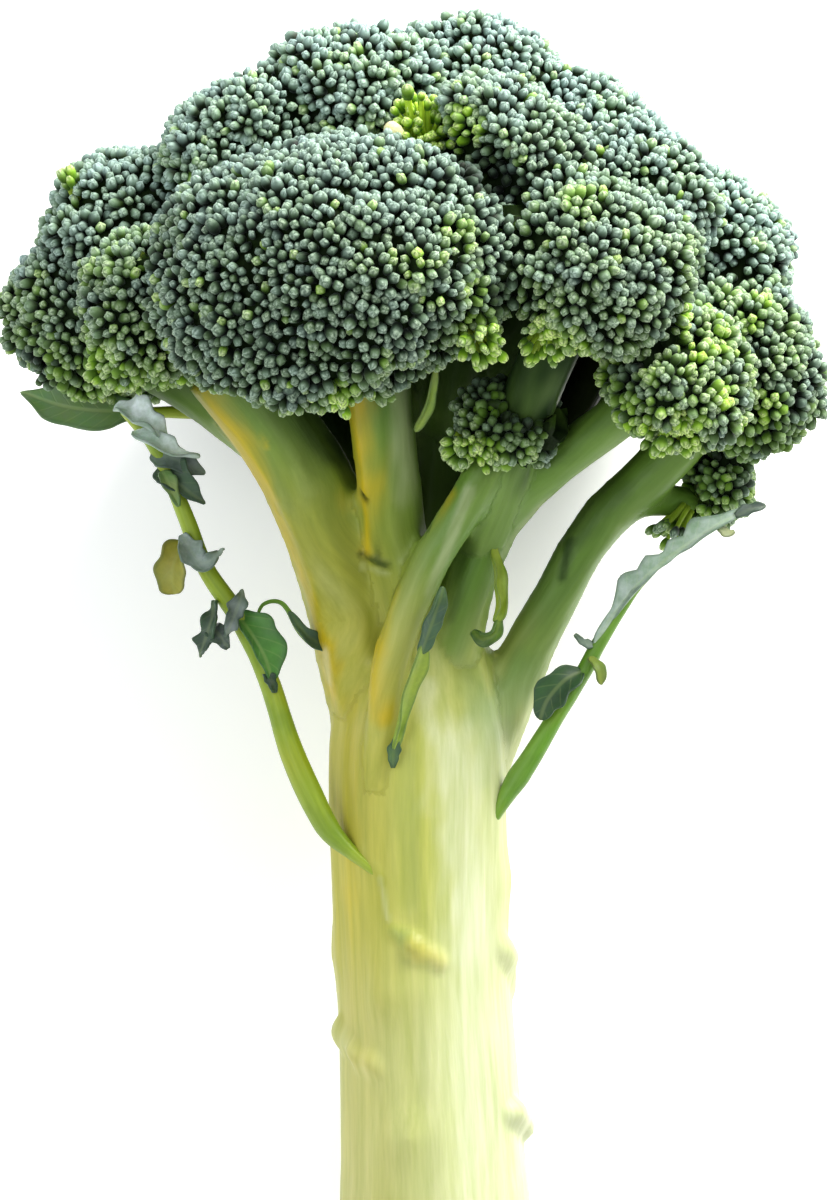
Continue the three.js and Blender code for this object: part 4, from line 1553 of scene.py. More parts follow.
@dataclass
class Stem:
    """The stalk with all its branches, grown together.

    Attributes:
        growth: the upright frame.
        voxel: the size of the skin's quads, in millimetres.
        swell: closes the gaps that the CAD pieces keep.
        fork: the height at which the stalk parts.
        core_radius: how far the pale core of the cut end reaches.
        rim_radius: where its rim of skin is whole.
        marks: what has happened to its skin.
    """

    growth: Growth
    voxel: float = 0.85
    swell: float = 0.4
    fork: float = 95.0
    core_radius: float = 13.2
    rim_radius: float = 15.5
    marks: tuple[Mark, ...] = MARKS

    def middle_line(self, solid: Surface) -> Points:
        """Finds about where the middle line of a branch runs.

        Args:
            solid: the CAD branch.

        Returns:
            The middles of its slices, from foot to top.
        """
        heights = solid.points[:, 2]
        direction = unit(solid.points[heights.argmax()] - solid.points[heights.argmin()])
        place = solid.points @ direction
        edges = np.linspace(place.min(), place.max(), 7)
        bands = [(place >= low) & (place <= high) for low, high in zip(edges, edges[1:])]
        return np.array([solid.points[band].mean(axis=0) for band in bands if band.sum() > 2])

    def grain(self, points: Points, owners: Points, lines: dict[str, Points]) -> Points:
        """Each point's place across and along its own branch.

        Args:
            points: the points of the skin.
            owners: the name of the branch that each belongs to.
            lines: each branch's middle line.

        Returns:
            Two numbers across and one along, for each point.
        """
        result = np.zeros((len(points), 3))
        for number, (name, line) in enumerate(lines.items()):
            mine = np.flatnonzero(owners == name)
            if not len(mine):
                continue
            dense = curved(line, 40)
            tangents, across, over = side_frames(dense)
            away = points[mine][:, None] - dense[None]
            nearest = np.linalg.norm(away, axis=2).argmin(axis=1)
            offset = away[np.arange(len(mine)), nearest]
            step = np.linalg.norm(dense[1] - dense[0])
            apart = number * 31  # keeps one branch's streaks from running on in the next
            result[mine, 0] = (offset * across[nearest]).sum(axis=1) + apart
            result[mine, 1] = (offset * over[nearest]).sum(axis=1)
            result[mine, 2] = nearest * step + (offset * tangents[nearest]).sum(axis=1)
        return result

    def grown_zones(
        self, points: Points, grain: Points, wander: Points, on_stalk: Points
    ) -> Points:
        """The skin's colour shares before any mark: green above, pale below, painted shade under and inside
        the crown, and painted light on the stalk's right side.

        Args:
            points: the points of the skin.
            grain: each one's place across and along its own branch.
            wander: noise that makes the borders uneven.
            on_stalk: which points belong to the stalk.

        Returns:
            The `zone` of each point.
        """
        across, deep, height = points.T
        rise = smooth_step(height + wander * 8 + 0.3 * across, self.fork, self.fork + 30)
        green = np.clip(rise * 0.9 + 0.1 * ~on_stalk + 0.12 * wander, 0, 1)
        left = smooth_step(-across, -6, 12) * smooth_step(height, 150, 118)
        # painted shade: the inner side of the branches and everything high under the crown are darkened
        inner = smooth_step(deep, -12, -3) * smooth_step(np.abs(across), 30, 18)
        inner = inner * smooth_step(height + 12 * smooth_step(across, -11, -3), 128, 146)
        dark = np.maximum(smooth_step(height, 138, 160), inner)
        # painted light: the lower right side of the stalk is made paler, where the lights fall
        right = smooth_step(across, -2, 11) * smooth_step(height, 106, 80)
        low = smooth_step(height, 62, 30)
        cream = 0.55 * right + 0.3 * low + 0.15 * noise_at(grain * (1, 1, 0.1), 4, 4)
        ochre = 0.36 * left * (1 + 0.4 * wander)
        shade = dark * (0.9 + 0.25 * wander)
        return zone_shares(len(points), green, ochre, shade, np.clip(cream, 0, 1))

    def build(self, finish: bpy.types.Material) -> None:
        """Builds the stem and dresses it.

        Args:
            finish: its finish.
        """
        branches = sorted(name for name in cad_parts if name.startswith("branch_"))
        names = (*branches, "stalk")
        solids = {name: self.growth.read(name) for name in names}
        skin = Surface.joined([solid.grown(self.swell) for solid in solids.values()])
        skin = skin.remeshed(self.voxel).relaxed(7)
        owner_of = [name for name, solid in solids.items() for _ in solid.triangles]
        tree = Surface.joined(list(solids.values())).tree()
        owners = np.array([owner_of[tree.find_nearest(place)[2]] for place in skin.points])
        lines = {name: self.middle_line(solid) for name, solid in solids.items()}
        grain = self.grain(skin.points, owners, lines)
        wander = noise_at(grain * (1, 1, 0.2), 7, 2)
        fleck = noise_at(grain * (1, 1, 0.35), 2.2, 6)
        zones = self.grown_zones(skin.points, grain, wander, owners == "stalk")
        normals = skin.normals()
        cut = smooth_step(-normals[:, 2], 0.75, 0.95) * (skin.points[:, 2] < 3)
        ridges = noise_at(grain * (1, 1, 0.08), 2.6, 5) * 0.22
        ridges += noise_at(grain * (1, 1, 0.12), 6.5, 9) * 0.3
        moved = ridges * (1 - cut)
        for mark in self.marks:
            away = capsule_distance(skin.points, mark.start, mark.end)
            away = away + mark.radius * (0.5 * wander + 0.5 * fleck)
            share = smooth_step(away, mark.radius * 1.7, mark.radius * 0.2)
            column = mark.tint.value
            zones[:, column] += (1 - zones[:, column]) * mark.amount * share
            moved += mark.raise_mm * share
        # the cut end: a pale, slightly sunken core inside a rim of skin
        centre = skin.points[cut > 0.5].mean(axis=0)
        out = np.linalg.norm((skin.points - centre)[:, :2], axis=1)
        core = 0.85 - 0.7 * smooth_step(out, self.core_radius, self.rim_radius)
        zones[:, Tint.CREAM.value] = np.where(cut > 0.5, core, zones[:, Tint.CREAM.value])
        zones[:, Tint.OCHRE.value] = np.where(cut > 0.5, 0.15, zones[:, Tint.OCHRE.value])
        sunk = 0.5 + 0.3 * noise_at(skin.points, 2.0, 8)
        moved -= cut * sunk * smooth_step(out, self.rim_radius, 11)
        made = Surface(skin.points + normals * moved[:, None], skin.quads, skin.triangles)
        made.values = {"zone": np.clip(zones, 0, 1), "grain": grain}
        self.growth.piece("stem", made, finish, Slot.STALK, names)


# ---- Leaves and bracts ---------------------------------------------------------------------


@dataclass(frozen=True)
class Blade:
    """A lobe of a leaf: a thin, ruffled sheet on a midrib.

    Attributes:
        spine: the midrib, in the upright frame.
        widths: half the width from the base to the tip, in millimetres.
        up: about where its upper face points.
        cup: how far its sides curl up, in degrees.
        ruffle: how far its edge waves, in millimetres.
        waves: how many waves the edge has.
        teeth: how many teeth the edge has.
        bite: how deep the teeth cut, as a share of the width.
        lean: how much wider one half is than the other, from -1 to 1.
        dark: how dark green it is.
        wax: how much bloom it has kept.
        yellow: how much it has yellowed.
        veined: how clearly its veins show.
        thickness: how thick it is, in millimetres.
    """

    spine: tuple[Place, ...]
    widths: tuple[float, ...]
    up: Place = (0, -1, 0)
    cup: float = 40.0
    ruffle: float = 0.7
    waves: float = 2.5
    teeth: float = 5.0
    bite: float = 0.18
    lean: float = 0.0
    dark: float = 0.3
    wax: float = 0.3
    yellow: float = 0.0
    veined: float = 0.35
    thickness: float = 0.55

    def surface(self, seed: int, rows: int = 46, columns: int = 17) -> Surface:
        """Builds the blade.

        Args:
            seed: picks its chances.
            rows: points along it.
            columns: points across it.

        Returns:
            The blade, with the `tint` and `sheet` that the leaf's finish reads.
        """
        rng = np.random.default_rng(seed)
        line = curved(self.spine, rows)
        length = np.linalg.norm(np.diff(line, axis=0), axis=1).sum()
        tangents = unit(np.gradient(line, axis=0))
        up = np.array(self.up, float)
        faces = unit(up - tangents * (tangents @ up)[:, None])
        sides = np.cross(tangents, faces)
        along = np.linspace(0, 1, rows)[:, None]
        over = np.linspace(-1, 1, columns)[None]
        phase = rng.uniform(0, 6.28, 4)
        half = spread_values(self.widths, rows)[:, None]
        round_off = np.sqrt(np.clip(1 - (2 * along - 1) ** 8, 0, 1))
        beat = along * self.teeth + 0.3 * np.sin(along * 9 + phase[0]) + 0.5 * (over > 0)
        tooth = np.abs(beat % 1 - 0.5) * 2
        reach = half * round_off * (1 + self.lean * np.sign(over)) * (1 - self.bite * tooth)
        reach = reach * (1 + 0.1 * np.sin(along * 17 + phase[1]))
        curl = np.radians(self.cup) * np.abs(over) * (1 + 0.3 * np.sin(along * 6 + phase[2]))
        flat = np.where(curl > 1e-3, np.sin(curl) / np.maximum(curl, 1e-3), 1.0)
        bend = np.where(curl > 1e-3, (1 - np.cos(curl)) / np.maximum(curl, 1e-3), 0.0)
        wave = np.sin(along * self.waves * FULL_TURN + phase[3] + 1.3 * (over > 0))
        lift = reach * np.abs(over) * bend + self.ruffle * np.abs(over) ** 1.6 * wave * round_off
        middle = line[:, None] + sides[:, None] * (reach * over * flat)[..., None]
        middle = middle + faces[:, None] * lift[..., None]
        normal = unit(np.cross(np.gradient(middle, axis=1), np.gradient(middle, axis=0)))
        thick = self.thickness / 2 * (0.45 + 0.55 * (1 - np.abs(over) ** 4))
        thick = thick * (0.3 + 0.7 * round_off)
        rib = 0.35 * np.exp(-((reach * over / 0.5) ** 2)) * (1 - 0.6 * along)
        upper = middle + normal * thick[..., None]
        lower = middle - normal * (thick + rib)[..., None]
        points = np.vstack([upper.reshape(-1, 3), lower.reshape(-1, 3)])
        side = rows * columns
        grid = np.arange(side).reshape(rows, columns)
        quad = np.stack([grid[:-1, :-1], grid[1:, :-1], grid[1:, 1:], grid[:-1, 1:]], -1)
        quad = quad.reshape(-1, 4)
        other = quad[:, ::-1] + side
        border = np.concatenate([grid[0, :-1], grid[:-1, -1], grid[-1, :0:-1], grid[:0:-1, 0]])
        after = np.roll(border, -1)
        rim = np.stack([border, after, after + side, border + side], 1)
        edge = smooth_step(np.abs(over), 0.72, 1.0) * np.ones_like(along)
        patch = noise_at(points, 4, seed)
        dark = self.dark + 0.25 * patch
        wax = np.repeat([self.wax, self.wax * 0.6], side)
        yellow = self.yellow + 0.2 * patch * (self.yellow > 0)
        tint = np.stack([dark, wax, np.tile(edge.ravel() * 0.45, 2), yellow], axis=1)
        lengthwise = along * length * np.ones_like(over)
        place = np.stack([reach * over, lengthwise, np.full_like(reach, self.veined)], -1)
        sheet = np.tile(place.reshape(-1, 3), (2, 1))
        made = Surface(points, np.vstack([quad, other, rim]))
        made.values = {"tint": np.clip(tint, 0, 1), "sheet": sheet}
        corners = made.points[quad[:200]]
        turn = np.cross(corners[:, 1] - corners[:, 0], corners[:, 2] - corners[:, 0])
        if (turn * normal.reshape(-1, 3)[quad[:200, 0]]).sum() < 0:
            made.quads = made.quads[:, ::-1]
        return made


@dataclass(frozen=True)
class Petiole:
    """A leaf's stalk, or a thin stem inside the crown.

    Attributes:
        line: its middle line, in the upright frame.
        radii: its radius from foot to tip.
        green: how green it is.
        ochre: how much it has yellowed.
        flatness: its thickness as a share of its width.
    """

    line: tuple[Place, ...]
    radii: tuple[float, ...]
    green: float = 0.6
    ochre: float = 0.25
    flatness: float = 0.85

    def surface(self, seed: int) -> Surface:
        """Builds the petiole.

        Args:
            seed: picks its chances.

        Returns:
            The petiole, with the `zone` and `grain` that the stem's finish reads.
        """
        count = 70
        path = curved(self.line, count)
        swollen = 1 + 0.06 * noise_at(path, 5, seed)
        made = tube(path, spread_values(self.radii, count) * swollen, 14, self.flatness)
        wander = noise_at(made.points, 8, seed)
        green, ochre = self.green + 0.2 * wander, self.ochre - 0.2 * wander
        zones = zone_shares(len(made.points), green, ochre, 0.12 * (wander > 0.25), 0.05)
        made.values["zone"] = np.clip(zones, 0, 1)
        ridge = noise_at(made.values["grain"] * (1, 1, 0.06), 1.2, 3) * 0.14
        made.points = made.points + made.normals() * ridge[:, None]
        return made


@dataclass(frozen=True)
class Twigs:
    """Small stems inside the crown, painted nearly black as shade, which fill the dark between the
    branches.

    Attributes:
        name: the name of the piece.
        node: the CAD branch that they stand with.
        stems: the stems.
        shade: how much painted shade they carry.
    """

    name: str
    node: str
    stems: tuple[Petiole, ...]
    shade: float = 0.97

    def build(self, growth: Growth, finish: bpy.types.Material, seed: int) -> None:
        """Builds the twigs and dresses them.

        Args:
            growth: the upright frame.
            finish: their finish.
            seed: picks their chances.
        """
        made = Surface.joined([stem.surface(seed + i) for i, stem in enumerate(self.stems)])
        # painted shade: the twigs are nearly black, as they stand in the crown's shade
        made.values["zone"][:, 2] = self.shade
        growth.piece(self.name, made, finish, Slot.BRANCH, (self.node,))


TWIGS = (
    Twigs("twigs_middle", "branch_top", (
        Petiole(((1.2, 3, 104), (2.4, 2, 120), (3.2, 1, 134), (3.4, 0, 152)), (2.6, 2.8, 3.0, 3.4)),
        Petiole(((-1, 4, 112), (-3, 4, 130), (-4.5, 3, 152)), (2.4, 2.8, 3.2)),
    )),
    Twigs("twigs_right", "branch_right_lower", (
        Petiole(((15, -8, 129), (20, -2, 142), (26, 2, 152), (30, 4, 166)), (2.8, 3.4, 4.2, 5.0)),
        Petiole(((11, -6, 126), (14, 0, 142), (18, 4, 162)), (2.8, 3.4, 4.4)),
        Petiole(((22, -8, 137), (28, -4, 148), (34, 0, 160)), (2.6, 3.6, 4.4)),
    )),
)


@dataclass(frozen=True)
class Leaf:
    """A leaf or bract that is left on the head, torn back to lobes along its petiole.

    Attributes:
        name: what its pieces are called.
        node: the CAD node that it stands for.
        petiole: its stalk, where it has one.
        blades: its lobes.
        slot: the record's slot for its material.
    """

    name: str
    node: str
    petiole: Petiole | None
    blades: tuple[Blade, ...]
    slot: Slot = Slot.LEAF

    def build(
        self, growth: Growth, skin: bpy.types.Material, stalk: bpy.types.Material, seed: int
    ) -> None:
        """Builds the leaf and dresses it.

        Args:
            growth: the upright frame.
            skin: the finish of its blades.
            stalk: the finish of its petiole.
            seed: picks its chances.
        """
        parts = [blade.surface(seed + i) for i, blade in enumerate(self.blades)]
        growth.piece(f"{self.name}_blade", Surface.joined(parts), skin, self.slot, (self.node,))
        if self.petiole:
            made = self.petiole.surface(seed)
            growth.piece(f"{self.name}_stalk", made, stalk, self.slot, (self.node,))


LEFT_LEAF = Leaf(
    "leaf_left_torn",
    "leaf_left",
    Petiole(
        (
            (-6.2, -13.6, 62), (-8.6, -12.9, 65.4), (-12.2, -11.4, 68.4), (-15.8, -10.4, 71.8),
            (-18.8, -10, 77), (-23, -10, 86.5), (-27, -10, 99),
            (-32, -10, 109.5), (-38, -10, 118.5), (-41.5, -10, 127.5), (-45, -10, 136),
            (-48, -10, 141.5), (-52.5, -10, 146.5),
        ),
        (0.5, 1.4, 2.6, 2.7, 2.4, 2.2, 2.1, 2.0, 1.9, 1.8, 1.6, 1.4, 1.1),
        green=0.4,
    ),
    (
        # a pale, frilled curl at the tip, and a second one that shows its dark back
        Blade(((-54, -10.5, 147.6), (-50.8, -13, 145.8), (-47.4, -13.5, 143.4), (-44.4, -12.5, 141.6)),
              (1.6, 3.6, 3.8, 3.0, 0.9), (0.0, -0.75, 0.65), 70, 0.9, 2.5, 3, 0.25, -0.2, 0.0, 1.0,
              veined=0.05),
        Blade(((-50.4, -11, 143), (-47.4, -13.5, 141.2), (-43.4, -14, 139.2), (-38.8, -13, 138.2)),
              (2.4, 3.2, 2.6, 1.9, 0.7), (0.1, -0.7, 0.7), 70, 0.7, 1.5, 3, 0.2, 0.1, 0.0, 0.9,
              veined=0.05),
        Blade(((-47.6, -10, 139.4), (-44, -11.5, 138), (-40.6, -11.5, 136.6), (-38, -11, 135.4)),
              (2.4, 3.4, 2.8, 1.9, 0.6), (0.2, -0.9, 0.1), 50, 0.4, 1.5, 2, 0.1, 0, 0.95, 0.15,
              veined=0.05),
        # the lobe under them, broad where it joins the petiole, bright within and dark at its point
        Blade(((-46.6, -10, 136.4), (-43.4, -12, 134), (-40.4, -12, 131.6), (-38, -11.5, 130)),
              (2.8, 3.8, 3.0, 1.7, 0.3), (0.1, -0.9, 0.2), 50, 0.4, 1.5, 2, 0.15, -0.2, 0.9, 0.05,
              veined=0.1),
        Blade(((-45.8, -11.5, 135.8), (-44.2, -13.2, 132.8), (-42.6, -13, 129.4)), (1.0, 1.7, 1.2, 0.3),
              (0.1, -0.9, 0.2), 50, 0.2, 1.5, 1, 0.05, -0.2, 0.0, 0.05, 0.2, veined=0.15),
        # an aged, rounded lobe, and the toothed curl over it that clasps the petiole
        Blade(((-41.6, -9.6, 123), (-43.2, -10.6, 120.4), (-43.9, -11, 117.2), (-43.4, -10.5, 114)),
              (2.2, 3.4, 3.6, 3.3, 2.0), (-0.4, -0.9, 0.0), 60, 0.3, 1.0, 1, 0.03, 0, 0.0, 0.0, 0.9,
              veined=0.1),
        Blade(((-42.2, -12, 124.6), (-40.4, -13.5, 121.4), (-38, -13.8, 119.4), (-34.6, -13, 122.2)),
              (1.4, 3.0, 3.0, 1.8, 0.3), (0.2, -0.9, 0.3), 70, 0.7, 2.5, 3, 0.3, 0.1, 0.75, 0.35,
              veined=0.1),
        # the dark, spiky lobes on both sides of the petiole
        Blade(((-31.4, -12, 115), (-32.2, -13.5, 112), (-33.4, -14, 109), (-34.4, -13, 106.4)),
              (0.3, 1.7, 2.3, 1.6, 0.4), (0.3, -0.9, 0.2), 55, 0.6, 2.5, 3, 0.3, 0.1, 0.95, 0.2,
              veined=0.12),
        Blade(((-36.4, -11, 113), (-36.8, -12.5, 109.6), (-37.8, -12.6, 106.4), (-39, -12, 102.8)),
              (0.4, 1.6, 2.4, 1.8, 0.2), (-0.3, -0.9, 0.2), 55, 0.6, 2.5, 3, 0.3, 0.1, 0.85, 0.05,
              veined=0.12),
        Blade(((-37, -11.6, 108.4), (-35.4, -12.4, 106.6), (-34, -12, 104.4)), (1.6, 2.4, 1.8, 0.5),
              (0, -0.9, 0.2), 55, 0.5, 2.5, 2, 0.2, 0.1, 1.0, 0.1, veined=0.12),
        # the bright lobe that folds down along the petiole, to a dark curled end
        Blade(((-32.6, -11, 110.4), (-29.8, -13.2, 106.8), (-27.4, -13.4, 102.6), (-26.4, -12.6, 98.6)),
              (1.8, 3.2, 3.4, 2.6, 1.2), (0.4, -0.9, 0.1), 65, 0.4, 1.5, 1, 0.04, -0.45, 0.05, 0.0,
              veined=0.2),
        Blade(((-27.4, -12.6, 100), (-26.2, -13.2, 98.4), (-25.8, -12.6, 96.6)), (0.8, 1.2, 0.9, 0.3),
              (0.4, -0.9, 0.1), 50, 0.3, 1.5, 1, 0.04, 0, 1.0, 0.0, veined=0.05),
    ),
)

RIGHT_LEAF = Leaf(
    "leaf_right_torn",
    "leaf_right",
    Petiole(
        (
            (12.6, -8.2, 73.6), (15.6, -8.6, 79), (19.5, -9, 85), (24, -9, 92.5), (29, -9, 100.5),
            (32, -9, 106), (39, -10, 116.5), (49.5, -11, 125.5), (57, -12, 128),
        ),
        (1.0, 2.3, 1.9, 1.7, 1.5, 1.4, 1.1, 0.8, 0.4),
        green=1.0,
        ochre=0.0,
    ),
    (
        # the long folded blade, torn to teeth along its upper edge
        Blade(((30.6, -10, 105), (35.6, -11, 112.4), (41.5, -12, 118.6), (49, -12.4, 124),
               (55, -12.4, 127.6), (60.6, -12.2, 129.4)),
              (0.5, 1.5, 2.3, 1.9, 2.4, 1.5, 0.5), (-0.3, -0.85, 0.4), 45, 0.35, 2.5, 6, 0.45, -0.55,
              0.25, 0.42, veined=0.25),
        Blade(((55.4, -12.8, 127.8), (58, -12.8, 128.9), (60.9, -12.4, 129.6)), (0.6, 1.1, 0.9, 0.6),
              (-0.1, -0.9, 0.2), 40, 0.2, 1.5, 1, 0.05, -0.2, 1.0, 0.1, veined=0.05),
        Blade(((28.6, -10, 100.4), (25.4, -12, 98.8), (22.4, -12.4, 95.4), (21, -11.8, 91.8)),
              (1.4, 3.0, 3.2, 1.2), (-0.2, -0.95, 0.2), 40, 0.3, 1.5, 1, 0.05, 0, 0.85, 0.0,
              veined=0.15),
        Blade(((29.8, -10.4, 103), (31.4, -11.6, 101), (31.8, -11.8, 98)), (0.7, 1.1, 1.2, 0.5),
              (0.3, -0.9, 0.1), 50, 0.3, 1, 1, 0.05, 0, 0.0, 0.0, 0.45, veined=0.05),
        Blade(((30.6, -9.6, 105), (28.6, -10.6, 105.6), (27.2, -10.6, 107)), (0.8, 0.9, 0.5, 0.1),
              (-0.2, -0.9, 0.3), 30, 0.2, 1, 1, 0.05, 0, 0.8, 0.2, veined=0.05),
        Blade(((52.6, -11.6, 125.8), (54, -11.8, 124.8), (55.4, -11.6, 125.2)), (0.5, 0.9, 0.8, 0.2),
              (0, -0.9, 0.3), 30, 0.2, 1, 1, 0.05, 0, 0.0, 0.2, 0.7, veined=0.05),
    ),
)

UPPER_LEFT_LEAF = Leaf(
    "leaf_upper_left_whole",
    "leaf_upper_left",
    Petiole(((-33, 4, 147), (-42, 3, 147), (-52, 3, 147)), (1.7, 1.4, 1.0)),
    (
        Blade(((-50, 2, 147.2), (-58, 1, 147), (-65, 1, 148), (-72.4, 2, 150.6)),
              (1.4, 4.0, 4.4, 3.4, 0.6), (0.1, -0.95, 0.35), 25, 0.4, 1.5, 1, 0.03, 0, 0.0, 0.1, 0.15,
              0.3),
    ),
)

BRACTS = (
    Leaf(
        "bract_left_tendril", "bract_left",
        Petiole(((-13.5, -4, 104), (-18, -6.5, 104.8), (-21.3, -8, 107.6), (-24.6, -8.5, 112.4),
                 (-28, -9, 112.2), (-29.4, -9, 108.8)), (1.0, 1.3, 1.2, 0.7, 0.6, 0.4), 0.9, 0.0, 0.6),
        (
            Blade(((-16, -6, 104.2), (-20, -9, 106.5), (-23.4, -10, 111)), (1.0, 1.6, 1.3, 0.3),
                  (0.2, -0.9, 0.3), 60, 0.3, 2, 2, 0.05, 0, 0.95, 0.1, veined=0.05),
        ),
        Slot.BRACT,
    ),
    Leaf(
        "bract_front_clasping", "bract_front", None,
        (
            Blade(((-4.8, -17.2, 86), (-3.6, -18.6, 91.5), (-2.2, -20.4, 97), (-0.4, -21.8, 102),
                   (0.8, -22.6, 106.5)),
                  (0.5, 1.3, 1.7, 1.9, 1.5), (0.6, -0.8, 0.1), 70, 0.3, 2, 1, 0.05, 0, 0.1, 0.05, 0.3,
                  veined=0.1),
            Blade(((-0.2, -22.2, 103.5), (1.4, -23.4, 108), (2.8, -24, 112), (3.8, -24, 115.4)),
                  (0.9, 1.8, 2.0, 1.8, 1.1), (0.5, -0.85, 0.1), 60, 0.3, 2, 1, 0.05, 0, 0.9, 0.12,
                  veined=0.1),
            Blade(((-4.2, -17.6, 89), (-4.8, -17.4, 86.4), (-4.9, -17, 83.6)), (0.6, 1.3, 1.2, 0.3),
                  (0.2, -0.9, 0.1), 60, 0.2, 1, 1, 0.05, 0, 0.9, 0.1, veined=0.05),
        ),
        Slot.BRACT,
    ),
    Leaf(
        "bract_centre_sliver", "bract_centre", None,
        (
            Blade(((-1, -24, 142), (1.2, -28, 146), (2.2, -31, 150), (2.6, -32, 153.5)),
                  (0.5, 1.1, 1.0, 0.3), (0.3, -0.9, 0.1), 60, 0.2, 1, 1, 0.03, 0, 0.1, 0.1, 0.3,
                  veined=0.1),
        ),
        Slot.BRACT,
    ),
    Leaf(
        "bract_right_curled", "bract_right", None,
        (
            Blade(((12.4, -15.4, 124), (13.4, -16.8, 118), (13.7, -17.6, 112.6), (13, -17, 109)),
                  (0.3, 1.3, 1.7, 1.9, 1.5), (0.55, -0.8, 0.1), 80, 0.5, 2.5, 1, 0.05, 0, 0.0, 0.0, 0.35,
                  veined=0.1),
            Blade(((13.8, -16.8, 110.4), (13, -17, 107.4), (10.8, -16, 106.2), (9, -14.4, 107.6)),
                  (0.8, 1.5, 1.6, 0.6), (0.2, -0.9, -0.2), 70, 0.3, 2, 1, 0.05, 0, 0.55, 0.0,
                  veined=0.1),
        ),
        Slot.BRACT,
    ),
)


# ---- Studio --------------------------------------------------------------------------------


@dataclass(frozen=True)
class Lamp:
    """A soft, round light that faces the head.

    Attributes:
        name: its name.
        place: where it hangs, in the upright frame, in millimetres.
        size: how wide it is, in millimetres.
        watts: its power.
        colour: its colour.
    """

    name: str
    place: Place
    size: float
    watts: float
    colour: str


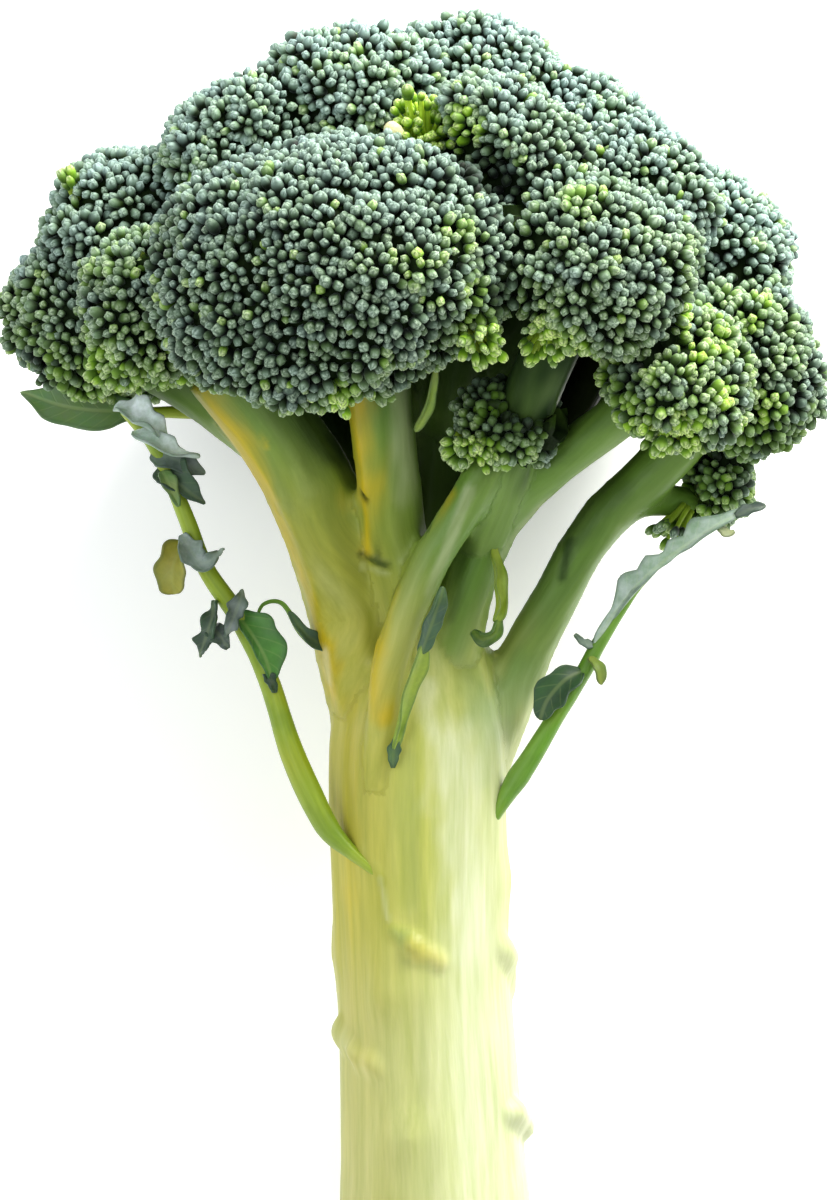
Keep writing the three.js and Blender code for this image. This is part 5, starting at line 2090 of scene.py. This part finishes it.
@dataclass(frozen=True)
class Studio:
    """A white table, soft lights and the camera.

    Attributes:
        growth: the upright frame.
        distance: how far the camera stands from the stalk, in millimetres.
        aim: what the middle of the picture looks at, in the upright frame.
        lens: the focal length in millimetres, for a picture 36 mm tall.
        lamps: the lights.
        lit: what the lights face, in the upright frame.
        sky: the colour of the light from all round.
        sky_strength: how bright that light is.
        half_table: half the table's width, in metres.
        table_depth: how thick it is.
        table_gap: how far its top lies under the head, so that the two don't share a face.
    """

    growth: Growth
    distance: float = 600.0
    aim: Place = (-1.3, 0, 113)
    lens: float = 100.0
    lamps: tuple[Lamp, ...] = (
        Lamp("window_light", (320, -200, 640), 560, 11.5, "#fffdf8"),
        Lamp("fill_light", (-420, -520, 160), 500, 1.5, "#f6f9ff"),
    )
    lit: Place = (0, 0, 150)
    sky: str = "#f7faff"
    sky_strength: float = 0.78
    half_table: float = 3.0
    table_depth: float = 0.01
    table_gap: float = 0.0002

    def add_camera(self) -> None:
        """Stands the camera square to the stalk's best side."""
        data = bpy.data.cameras.new("camera")
        data.lens = self.lens
        data.sensor_width = 36.0
        data.clip_start = 0.01
        data.clip_end = 20.0
        camera = bpy.data.objects.new("camera", data)
        bpy.context.scene.collection.objects.link(camera)
        away = np.array(self.aim, float) - (0, self.distance, 0)
        right, deep, up = self.growth.axes
        turned = Matrix(np.stack([right, up, -deep], axis=1).tolist()).to_4x4()
        turned.translation = Vector(self.growth.laid(away))
        camera.matrix_world = turned
        bpy.context.scene.camera = camera

    def add_light(self, lamp: Lamp) -> None:
        """Hangs one of the lights.

        Args:
            lamp: the light.
        """
        data = bpy.data.lights.new(lamp.name, "AREA")
        data.shape = "DISK"
        data.size = lamp.size * MM
        data.energy = lamp.watts
        data.color = linear(lamp.colour)[:3]
        light = bpy.data.objects.new(lamp.name, data)
        bpy.context.scene.collection.objects.link(light)
        light.location = self.growth.laid(lamp.place)
        target = Vector(self.growth.laid(self.lit))
        light.rotation_mode = "QUATERNION"
        light.rotation_quaternion = (target - light.location).to_track_quat("-Z", "Y")

    def add_floor(self, finish: bpy.types.Material) -> None:
        """Lays the white table under the head.

        Args:
            finish: the table's finish.
        """
        half = self.half_table
        around = ((-half, -half), (half, -half), (half, half), (-half, half))
        corners = [(x, y, z) for z in (-self.table_depth, -self.table_gap) for x, y in around]
        faces = [(3, 2, 1, 0), (4, 5, 6, 7), (0, 1, 5, 4), (1, 2, 6, 5), (2, 3, 7, 6), (3, 0, 4, 7)]
        data = bpy.data.meshes.new("table_top")
        data.from_pydata(corners, [], faces)
        data.materials.append(finish)
        table = bpy.data.objects.new("table_top", data)
        bpy.context.scene.collection.objects.link(table)

    def build(self) -> None:
        """Sets up the whole studio."""
        self.add_camera()
        self.add_floor(Paper("white_paper").material())
        for lamp in self.lamps:
            self.add_light(lamp)
        world = bpy.data.worlds.new("studio_air")
        world.use_nodes = True
        air = next(node for node in world.node_tree.nodes if node.type == "BACKGROUND")
        air.inputs["Color"].default_value = linear(self.sky)
        air.inputs["Strength"].default_value = self.sky_strength
        bpy.context.scene.world = world
        bpy.context.scene.view_settings.view_transform = "Standard"


def main() -> None:
    """Builds the studio, then the stem, crown, leaves, bracts, sprouts and twigs, in that order."""
    logging.basicConfig(level=logging.INFO, format="%(name)s: %(message)s")
    growth = Growth.from_cut_end(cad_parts["stalk"], CUT_MIDDLE)
    Studio(growth).build()
    stem_skin = StemSkin("stem_skin").material()
    petiole_skin = StemSkin(
        "petiole_skin", "#8ca60c", "#5b8c1c", "#b0a60c", cream="#c9d48a", streak_mm=0.8
    ).material()
    # the flesh finish's near-black shade colour paints the shade between the buds, under the florets and in
    # the twigs
    flesh_and_shade_skin = StemSkin(
        "floret_flesh_and_shade_skin", green="#5f8034", ochre="#8f8c2c", shade="#081208", streak_mm=0.7,
        gloss=0.06,
    ).material()
    shoot_skin = StemSkin(
        "young_shoot_skin", "#b8dc3c", "#8fc223", "#d3d548", cream="#e9dcb6", streak_mm=0.5
    ).material()
    leaf_skin = LeafSkin("leaf_skin").material()
    bract_skin = LeafSkin(
        "bract_skin", "#84ab2e", "#2f4c28", "#7fa79f", "#c8cc3c", "#c3d35c"
    ).material()
    bud_skin = BudSkin("bud_skin").material()
    Stem(growth).build(stem_skin)
    Crown(growth).build(bud_skin, flesh_and_shade_skin)
    for index, leaf in enumerate((LEFT_LEAF, RIGHT_LEAF, UPPER_LEFT_LEAF)):
        leaf.build(growth, leaf_skin, petiole_skin, LEAF_SEED + SEED_STEP * index)
    for index, bract in enumerate(BRACTS):
        bract.build(growth, bract_skin, petiole_skin, BRACT_SEED + SEED_STEP * index)
    for index, sprout in enumerate(SPROUTS):
        sprout.build(growth, bud_skin, shoot_skin, SPROUT_SEED + index)
    for index, twigs in enumerate(TWIGS):
        twigs.build(growth, flesh_and_shade_skin, TWIG_SEED + SEED_STEP * index)


if __name__ == "__main__":
    main()
